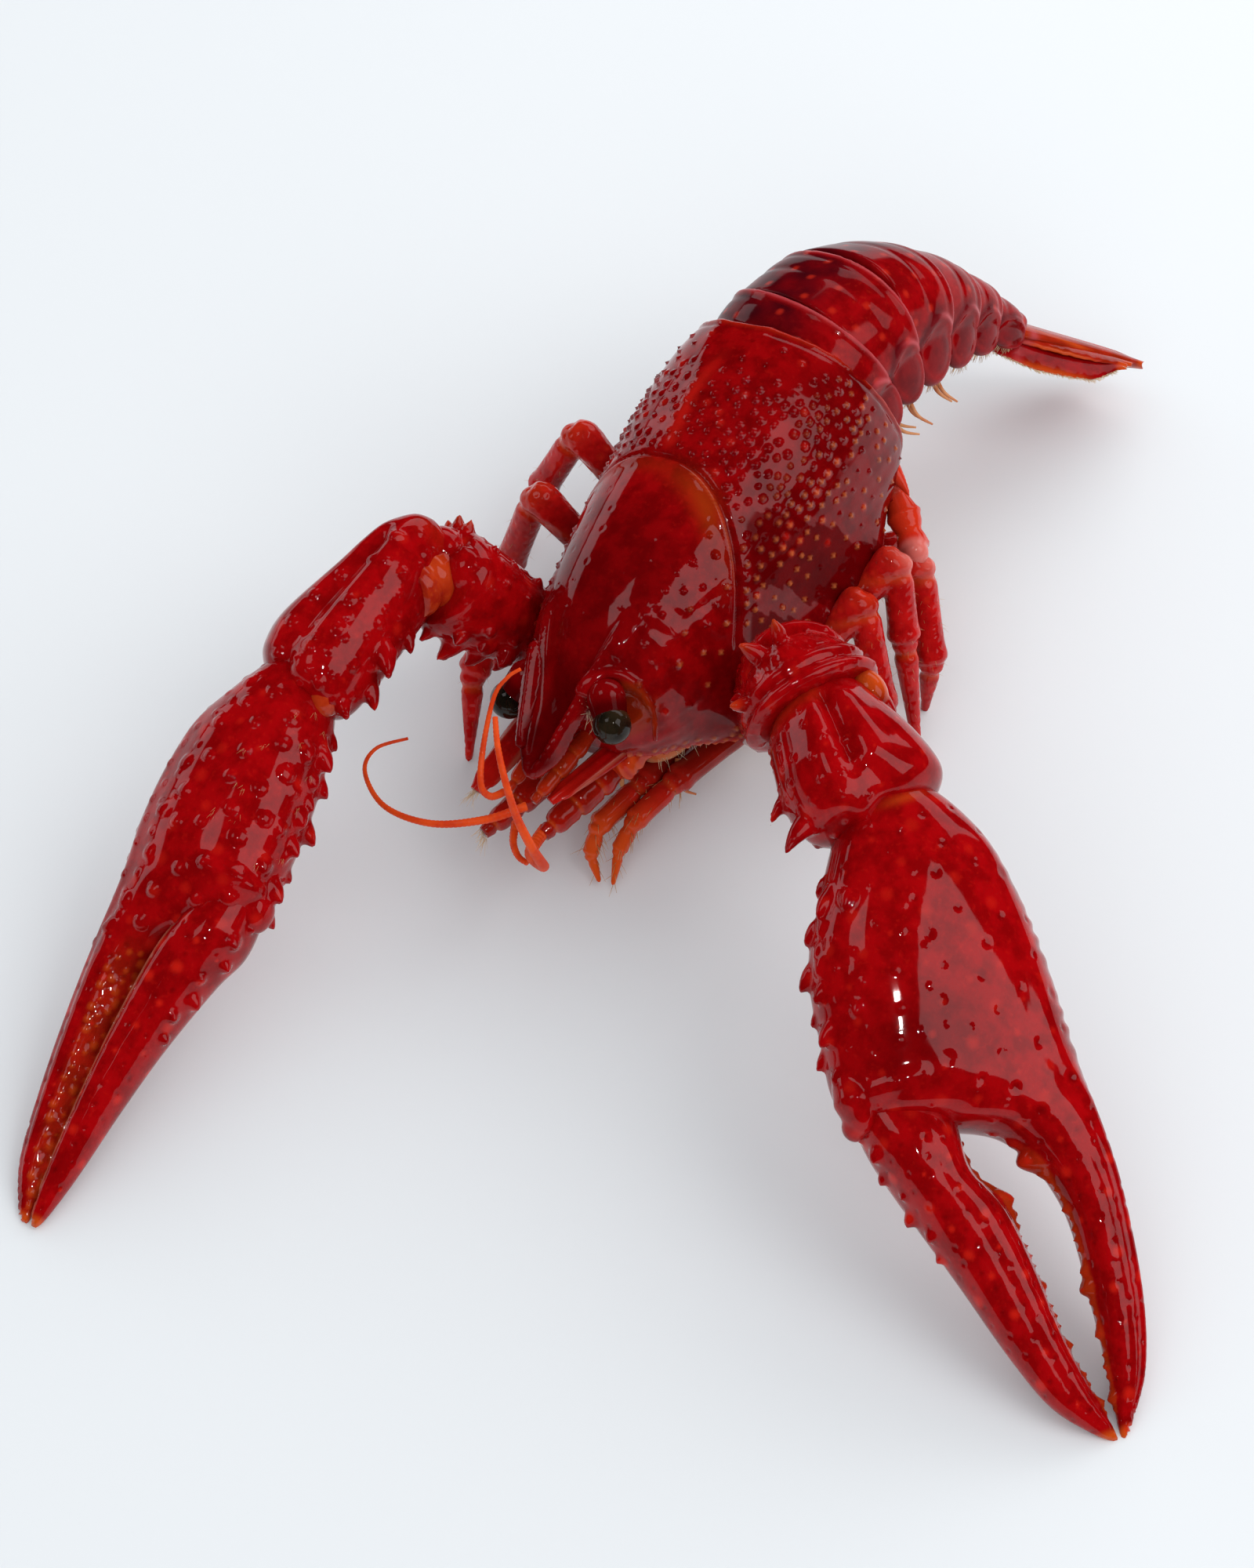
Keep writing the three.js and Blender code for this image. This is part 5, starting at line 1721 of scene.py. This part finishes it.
    def fringe(self, bench: Bench, i: int, place: Place, lobes: Sequence[tuple]) -> None:
        """Cream hairs under the side plates of a ring."""
        rng = default_rng(90 + i)
        angle = np.concatenate([rng.uniform(-2.5, -0.6, self.fringe_hairs) for _ in lobes])
        centre, radii = (np.repeat(np.array(part), self.fringe_hairs, axis=0)
                         for part in zip(*lobes))
        spread = np.stack([0 * angle, np.cos(angle), np.sin(angle)], 1)
        roots = centre + 0.93 * radii * spread
        towards = spread + rng.normal(0, 0.2, roots.shape) - np.sign(centre) * (0.4, 0, 0)
        bristles = hairs(roots, towards, rng.uniform(0.5, 1.1, len(roots)), 0.04)
        bristles.stain(Tint.PALE, 0.5)
        bench.set_down(bristles, place, f"abdomen_{i + 1}_fringe", HAIR)

    def swimmerets(self, bench: Bench, i: int, place: Place, length: float, back: Array) -> None:
        """The small forked limbs under a ring, hooked at their tips."""
        half, _, drop = back
        for name, side in SIDES:
            x, y = side * half * 0.46, 0.5 * length
            forks = []
            for fork, swing in ((0.3, 0.5), (1.5, -0.3)):
                curl = [(x, y, -0.8 * drop),
                        (x + side * fork * 0.6, y - 0.6 + swing, -1.35 * drop),
                        (x + side * (fork + 0.9), y - 1.0 + swing, -1.85 * drop),
                        (x + side * (fork + 1.9), y + 0.3 + swing, -2.1 * drop)]
                forks.append(tube(even_path(curl, 28), np.linspace(0.5, 0.1, 28), 12))
            clay, node = forks[0].join(forks[1:]), f"swimmeret_{name}_{i + 1}"
            bench.set_down(clay, place, f"{node}_limb", BELLY, (node,))


@dataclass
class TailFan:
    """The middle plate and the folded plates beside it."""

    root: tuple = (7.7, 51.0, 11.4)
    tip: tuple = (21.1, 60.1, 4.2)
    up: tuple = (-0.38, 0.68, 0.62)
    telson: tuple = (3.2, 0.85)
    uropod: tuple = (16.0, 2.8, 0.5)
    steps: tuple = (0, 0.35, 0.75, 1)
    telson_shares: tuple = (1.5, 1.15, 0.8, 0.4)
    uropod_shares: tuple = (0.75, 1.0, 0.9, 0.3)
    thins: tuple = (1.2, 1, 0.8, 0.5)
    fringe_hairs: int = 320
    spread: tuple = (0.05, 0.07)
    out: tuple = (1.5, 2.2)
    drop: tuple = (-0.6, -1.0)
    curl: tuple = (0.4, 1.0, 3.0)
    warmth: tuple = (0.35, 0.25, 0.0)

    def plate(self, length: float, half: float, thick: float, curl: float, side: int,
              warm: float) -> Clay:
        """A plate that widens, curls down along its edges and ends ragged.

        Args:
            length: Its length.
            half: Half its width.
            thick: Half its thickness.
            curl: How far its outer edge bends down.
            side: 1 or -1 for the edge that bends, 0 for both.
            warm: How orange it is.

        Returns:
            The plate.
        """
        shares = self.uropod_shares if side else self.telson_shares
        rows = [[at * length, 0, 0, share * half, thin * thick, thin * thick]
                for at, share, thin in zip(self.steps, shares, self.thins)]
        clay = ring_skin(smooth_rows(rows, 60), 56, oval)
        x, y, z = clay.points.T
        u = x / half
        outward = u * u if side == 0 else np.clip((side * u - 0.1) / 0.9, 0, 1) ** 1.3
        rib = 0.3 * thick * hill(u, 0.16) * ease(length - y, 0, 3)
        z = z + rib * np.sign(z) - outward * curl * ease(y, -1, 1.5)
        z = z + abs(side) * 0.03 * outward * (np.sin(3.1 * y) + np.sin(5.3 * y + 1))
        y = y + 0.35 * np.sin(9 * u) * ease(y, length - 2, length)
        clay.points = np.stack([x, y, z], 1)
        clay.stain(Tint.AMBER, 0.8 * ease(y, length - 1.4, length - 0.2))
        clay.stain(Tint.AMBER, warm * (0.6 + 0.4 * ease(-y, -6, -1.5)))
        clay.stain(Tint.AMBER, 0.7 * hill(np.abs(u) - 1, 0.08))
        clay.stain(Tint.PALE, 0.45 * hill(y - 3.6, 0.5) * outward)
        clay.stain(Tint.BRIGHT, 0.3 * hill(u, 0.3))
        return clay

    def fringe(self, length: float, half: float, curl: float, side: int, seed: int) -> Clay:
        """Ragged cream hairs along a plate's outer and hind edge."""
        rng = default_rng(seed)
        count = self.fringe_hairs
        at = rng.uniform(0.1, 1.0, count)
        width = half * np.interp(at, self.steps, self.uropod_shares)
        hind = at > 0.93
        u = np.where(hind, rng.uniform(-1, 1, count), side)
        outward = np.clip((side * u * width / half - 0.1) / 0.9, 0, 1) ** 1.3
        roots = np.stack([u * width * 0.96, at * length, -curl * outward], 1)
        towards = np.stack([u * 0.7, 0.5 + hind, -0.7 * outward], 1)
        towards += rng.normal(0, 0.18, (count, 3))
        bristles = hairs(roots, towards, rng.uniform(0.3, 0.7, count), 0.05)
        bristles.stain(Tint.PALE, 0.6)
        return bristles

    def build(self, bench: Bench) -> None:
        """Model and dress the fan."""
        place = Place.aim(self.root, self.tip, up=self.up)
        length = float(norm(np.subtract(self.tip, self.root)))
        telson = self.plate(length, *self.telson, self.curl[0], 0, self.warmth[0])
        bench.set_down(telson, place, "telson_plate", TAIL, ("telson",))
        bristles = []
        for name, side in SIDES:
            for i, spread in enumerate(self.spread):
                node = f"uropod_{name}_{i + 1}"
                reach, half, thick = self.uropod
                angle, curl = side * spread, self.curl[i + 1] * (1 if side > 0 else 0.15)
                c, s = math.cos(angle), math.sin(angle)
                turn = Place(np.array([[c, s, 0], [-s, c, 0], [0, 0, 1]]),
                             np.array([side * self.out[i], -0.6 - i, self.drop[i]]))
                plate = self.plate(reach, half, thick, curl, side, self.warmth[i + 1]).moved(turn)
                if i == 1:
                    bristles.append(self.fringe(reach, half, curl, side, 101 + i).moved(turn))
                bench.set_down(plate, place, f"{node}_plate", TAIL, (node,))
        bench.set_down(bristles[0].join(bristles[1:]), place, "fan_fringe", HAIR)


@dataclass
class HeadLimbs:
    """Feelers, mouth limbs and the plates at their roots."""

    # Name, radius at root and tip, route
    feelers: tuple = (
        ("antenna_left", 0.6, 0.24,
         ((1.0, -25.4, 9.2), (1.5, -29.0, 9.8), (4.6, -31.7, 13.0), (4.8, -33.7, 18.0),
          (3.3, -33.9, 22.0), (1.9, -33.5, 26.0), (0.0, -31.7, 28.0), (-1.7, -29.4, 29.0))),
        ("antenna_right", 0.4, 0.26,
         ((-2.3, -25.5, 8.0), (-1.2, -27.8, 8.3), (0.2, -29.2, 8.6), (1.5, -29.7, 9.0))),
        ("antennule_left", 0.42, 0.14,
         ((-0.4, -26.5, 13.0), (-3.1, -29.5, 12.5), (-7.5, -32.2, 12.0), (-12.8, -32.1, 11.0),
          (-16.8, -29.3, 10.5), (-17.4, -26.4, 10.5), (-15.4, -23.8, 10.5))),
        ("antennule_right", 0.36, 0.16,
         ((-3.0, -26.3, 13.2), (-3.2, -28.4, 14.8), (-4.0, -28.7, 16.5), (-5.2, -26.3, 18.5),
          (-6.2, -22.6, 21.5), (-5.7, -20.9, 23.0), (-4.9, -19.8, 23.6))))
    mouth: tuple = (
        ("maxilliped_left", ((9.4, -3.0, 4.8), (7.4, -11.6, 5.4), (6.0, -17.3, 4.4),
                             (5.8, -19.9, 2.6), (6.7, -22.6, 0.8))),
        ("maxilliped_right", ((5.3, -4.6, 4.2), (4.6, -13.2, 5.0), (3.2, -19.4, 4.2),
                              (3.6, -21.6, 2.4), (5.4, -23.0, 0.8))))
    mouth_radii: tuple = (1.5, 1.35, 1.05, 0.75, 0.2)
    palps: tuple = (((2.6, -14.1, 6.2), (3.3, -15.0, 5.4), (4.3, -15.4, 4.7)),
                    ((6.5, -9.8, 6.1), (7.1, -11.0, 5.1), (8.1, -11.6, 4.3), (9.4, -11.3, 4.0)))
    # Start, end, lean and number of hairs
    tufts: tuple = (((-0.3, -17.0, 20.3), (2.3, -18.6, 18.3), (0.5, -0.6, 0.3), 34),
                    ((-6.2, -24.2, 10.6), (-6.9, -26.2, 9.8), (-0.3, -0.9, -0.5), 40),
                    ((-5.4, -26.6, 6.4), (-4.6, -27.4, 5.6), (0.0, -0.8, -0.6), 24),
                    ((8.4, -4.4, 7.4), (5.2, -12.4, 8.2), (0.4, -0.4, -0.8), 40))
    # Name, start, end, half width and half thickness
    plates: tuple = (
        ("scale_left", (4.6, -13.6, 13.4), (0.9, -24.4, 12.2), 1.3, 0.5),
        ("scale_right", (-5.6, -14.0, 11.6), (-6.6, -25.6, 10.2), 1.7, 0.55),
        ("antenna_base_left", (3.4, -15.6, 10.4), (1.2, -26.2, 9.2), 1.6, 1.5),
        ("antenna_base_right", (-2.0, -16.0, 7.6), (-5.0, -27.0, 6.2), 1.5, 1.4),
        ("antennule_base_left", (0.9, -16.6, 14.6), (-0.2, -25.6, 12.8), 0.95, 0.9),
        ("antennule_base_right", (-3.2, -16.4, 13.2), (-3.0, -25.4, 12.6), 0.9, 0.85))
    socket: tuple = ((5.0, -12.4, 12.7), (4.7, -14.6, 12.0), (4.2, -16.8, 11.3))
    ring_length: float = 0.42
    plate_steps: tuple = ((0, 0.7, 0.8), (0.3, 1, 1), (0.75, 0.75, 0.85), (1, 0.4, 0.5))
    plate_joints: tuple = (0.34, 0.62, 0.9)

    def build(self, bench: Bench) -> None:
        """Model and dress everything in front of the head."""
        for feeler in self.feelers:
            self.feeler(bench, *feeler)
        for name, points in self.mouth:
            self.mouth_limb(bench, name, points)
        for plate in self.plates:
            self.plate(bench, *plate)
        self.soft_parts(bench)

    def feeler(self, bench: Bench, name: str, root: float, tip: float, points: Sequence) -> None:
        """A whip of many short rings."""
        length = norm(np.diff(even_path(points, 60), axis=0), axis=1).sum()
        count = int(length / self.ring_length) * 5
        beat = np.arange(count) % 5 / 5
        radii = np.linspace(root, tip, count) * (1 + 0.1 * np.sin(np.pi * beat))
        whip = tube(even_path(points, count), radii, 14)
        bench.set_down(whip, WORLD, f"{name}_whip", FEELER, (name,))

    def mouth_limb(self, bench: Bench, name: str, points: Sequence) -> None:
        """A jointed mouth limb, dark at its root and orange at its bristly tip."""
        joints = [np.array(point) for point in points]
        clay = limb(joints, self.mouth_radii, 0.14)
        p = clay.points
        ahead = joints[-1] - joints[0]
        along = np.clip((p - joints[0]) @ unit(ahead) / norm(ahead), 0, 1)
        clay.stain(Tint.AMBER, 0.08 + 0.85 * ease(along, 0.5, 0.95))
        clay.stain(Tint.DARK, 0.6 * ease(-along, -0.6, -0.3))
        rng = default_rng(63)
        picked = rng.choice(np.flatnonzero(along > 0.45), 60, replace=False)
        towards = 0.7 * clay.normals[picked] + unit(joints[-1] - joints[2])
        towards += rng.normal(0, 0.2, (60, 3))
        bristles = hairs(p[picked], towards, rng.uniform(0.7, 1.7, 60), 0.035)
        bench.set_down(clay, WORLD, f"{name}_limb", LEG, (name,))
        bench.set_down(bristles, WORLD, f"{name}_bristles", HAIR)

    def soft_parts(self, bench: Bench) -> None:
        """The left antenna's socket, pale palps at the mouth and tufts of hair."""
        path = even_path(self.socket, 24)
        socket = tube(path, 1.5 + 0.12 * np.sin(np.linspace(0, 19, 24)), 32)
        socket.join([ball(path[-1], (1.7, 0.9, 1.5), 24)]).knead(0.14, 3)
        folds = np.sin(5 * socket.points[:, 0] + 3 * socket.points[:, 2])
        socket.lift(0.07 * folds)
        socket.stain(Tint.AMBER, 0.45 + 0.25 * folds)
        bench.set_down(socket, WORLD, "antenna_socket_left", LEG)
        thin = np.linspace(0.34, 0.1, 30)
        palps = [tube(even_path(points, 30), thin, 12) for points in self.palps]
        bench.set_down(palps[0].join(palps[1:]), WORLD, "mouth_palps", BELLY)
        rng = default_rng(64)
        roots, towards = [], []
        for start, end, lean, count in self.tufts:
            at = rng.random((count, 1))
            line = (1 - at) * start + at * end
            roots.append(line + rng.normal(0, 0.12, (count, 3)))
            towards.append(lean + rng.normal(0, 0.3, (count, 3)))
        roots, towards = np.concatenate(roots), np.concatenate(towards)
        tuft = hairs(roots, towards, rng.uniform(0.9, 1.9, len(roots)), 0.035)
        tuft.stain(Tint.PALE, 0.7)
        bench.set_down(tuft, WORLD, "head_tufts", HAIR)

    def plate(self, bench: Bench, name: str, start: Sequence, end: Sequence, half: float,
              thick: float) -> None:
        """A blade or a jointed base."""
        length = float(norm(np.subtract(end, start)))
        rows = [[at * length, 0, 0, share * half, thin * thick, thin * thick]
                for at, share, thin in self.plate_steps]
        clay = ring_skin(smooth_rows(rows, 60), 32, oval)
        p = clay.points
        if name.startswith("scale"):
            u = p[:, 0] / half
            veins = hill(np.abs(u) - 0.62, 0.1) + hill(u, 0.12)
            clay.lift(0.16 * veins * (clay.normals[:, 2] > 0))
            clay.stain(Tint.PALE, 0.14 * hill(np.abs(u) - 0.75, 0.1))
            clay.stain(Tint.BRIGHT, 0.5 * ease(p[:, 1], 0.2 * length, length))
        else:
            for at in self.plate_joints:
                gap = p[:, 1] - at * length
                clay.lift(-0.18 * thick * hill(gap, 0.22) + 0.08 * thick * hill(gap + 0.9, 0.6))
                clay.stain(Tint.AMBER, 0.6 * hill(gap, 0.2))
            clay.stain(Tint.AMBER, 0.25 if name.startswith("antennule") else 0.08)
        bench.set_down(clay, Place.aim(start, end), f"{name}_piece", LIMB, (name,))


@dataclass
class Belly:
    """The soft underside between the legs."""

    stations: tuple = (
        (12.5, 2.6, 8.8, 7.2, 5.6), (18.0, 4.4, 7.2, 5.2, 3.2), (27.0, 6.0, 6.0, 3.6, 1.2),
        (38.0, 6.0, 6.0, 3.6, 1.0), (45.0, 5.4, 7.0, 4.6, 1.8), (49.0, 4.6, 8.4, 6.4, 4.2))

    def build(self, bench: Bench) -> None:
        """Model and dress the underside with its ribs."""
        clay = ring_skin(smooth_rows(self.stations, 90), 48, Carapace().arch)
        p = clay.points
        under = ease(-clay.normals[:, 2], 0.2, 0.7)
        clay.lift(under * (0.35 * np.cos(2 * np.pi * p[:, 1] / 7) - 0.3 * hill(p[:, 0], 0.6)))
        clay.stain(Tint.PALE, 0.4 * under)
        clay.stain(Tint.AMBER, 0.7 * ease(-p[:, 1], -24, -15))
        bench.set_down(clay, BODY, "belly_skin", BELLY, ("belly",))


@dataclass
class Stage:
    """Pale floor, soft boxes and the camera."""

    target: tuple = (0.0, 0.0, 0.012)
    floor_colour: Colour = (0.80, 0.83, 0.845)
    camera: tuple = (142.163, -249.915, 367.917)
    azimuth: float = 30.5
    elevation: float = 53.0
    lens: float = 108.0
    boxes: tuple = (
        ("box_right", (0.66, 0.16, 0.73), 0.75, (0.48, 0.58), 1.7, (1.0, 0.95, 0.96)),
        ("box_left", (-0.98, 0.08, 0.17), 0.75, (0.60, 0.18), 0.5, (0.94, 0.95, 1.0)),
        ("box_back", (-0.10, 0.86, 0.50), 0.9, (0.80, 0.35), 1.2, (0.95, 0.96, 1.0)),
        ("box_top", (-0.42, -0.31, 0.85), 0.8, (0.26, 0.26), 0.4, (1.0, 0.96, 0.97), True, False),
        ("lamp", (0.24, -0.31, 0.92), 0.8, (0.035, 0.035), 1.0, (1.0, 0.98, 0.97), True, False),
        ("fill_front", (0.30, -0.75, 0.60), 1.0, (0.8, 0.6), 1.6, (1.0, 0.99, 0.99), False),
        ("fill", (0.05, 0.90, 0.45), 0.9, (1.2, 0.7), 3.4, (1.0, 0.99, 0.98), False))

    def build(self, shift: Array) -> None:
        """Set up everything around the animal."""
        self.place_camera(shift)
        self.lay_floor()
        for box in self.boxes:
            self.soft_box(*box)
        self.set_sky()

    def place_camera(self, shift: Array) -> None:
        """Put the camera where the photograph was taken from."""
        data = bpy.data.cameras.new("photo_camera")
        data.lens = self.lens
        data.clip_start = 0.01
        data.clip_end = 20
        ob = bpy.data.objects.new("photo_camera", data)
        bpy.context.collection.objects.link(ob)
        a, e = math.radians(self.azimuth), math.radians(self.elevation)
        back = Vector((math.sin(a) * math.cos(e), -math.cos(a) * math.cos(e), math.sin(e)))
        ob.location = (np.asarray(self.camera) + shift) * MM
        ob.rotation_mode = "QUATERNION"
        ob.rotation_quaternion = (-back).to_track_quat("-Z", "Y")
        bpy.context.scene.camera = ob

    def lay_floor(self) -> None:
        """A wide pale sheet under the animal."""
        deselect()
        bpy.ops.mesh.primitive_plane_add(size=8, location=(0, 0, 0))
        floor = bpy.context.object
        floor.name = "floor"
        graph = Graph("pale_floor")
        cloud = graph.noise(3.0, 2.0)
        darker_tone = tuple(0.97 * c for c in self.floor_colour)
        colour = graph.blend(cloud, rgba(self.floor_colour), rgba(darker_tone))
        rough = cloud * 0.1 + 0.45
        sheet = graph.surface(colour, rough, cloud, 0.0001, {"Specular IOR Level": 0.3})
        floor.data.materials.append(sheet)

    def soft_box(self, name: str, towards: Numbers, distance: float,
                 size: tuple[float, float], power: float, colour: Colour,
                 mirrored: bool = True, lit: bool = True) -> None:
        """A lamp panel that faces the animal.

        Args:
            name: The lamp's name.
            towards: Direction from the animal.
            distance: How far away it stands, in metres.
            size: Its width and height.
            power: Its power in watts.
            colour: Its colour.
            mirrored: Whether glossy surfaces show it.
            lit: Whether it lights matt surfaces.
        """
        data = bpy.data.lights.new(name, "AREA")
        data.shape = "RECTANGLE"
        data.size, data.size_y = size
        data.energy = power
        data.color = colour
        ob = bpy.data.objects.new(name, data)
        bpy.context.collection.objects.link(ob)
        away = Vector(unit(towards))
        ob.location = Vector(self.target) + away * distance
        ob.rotation_mode = "QUATERNION"
        ob.rotation_quaternion = away.to_track_quat("Z", "Y")
        ob.visible_glossy = mirrored
        ob.visible_diffuse = lit

    def set_sky(self) -> None:
        """A dim even room around it all."""
        world = bpy.data.worlds.new("room")
        world.use_nodes = True
        back = world.node_tree.nodes["Background"]
        back.inputs["Color"].default_value = (0.94, 0.97, 1.0, 1.0)
        back.inputs["Strength"].default_value = 0.72
        world.cycles_visibility.glossy = False
        bpy.context.scene.world = world
        bpy.context.scene.view_settings.view_transform = "Standard"


def design_shift() -> Array:
    """The move from the design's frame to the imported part's, found from the left eye."""
    low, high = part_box("eye_left")
    return np.asarray((low + high) / 2) / MM - BODY.out(Eyes().centre)


def main() -> None:
    """Build the scene in order: camera and light, body, head, claws, legs, tail."""
    logging.basicConfig(level=logging.INFO, format="%(name)s %(message)s")
    shift = design_shift()
    bench = Bench(shift)
    Stage().build(shift)
    animal = (Carapace(), Belly(), Eyes(), HeadLimbs(), RIGHT_CLAW, LEFT_CLAW, Legs(), Abdomen(),
              TailFan())
    for part in animal:
        part.build(bench)


if __name__ == "__main__":
    main()
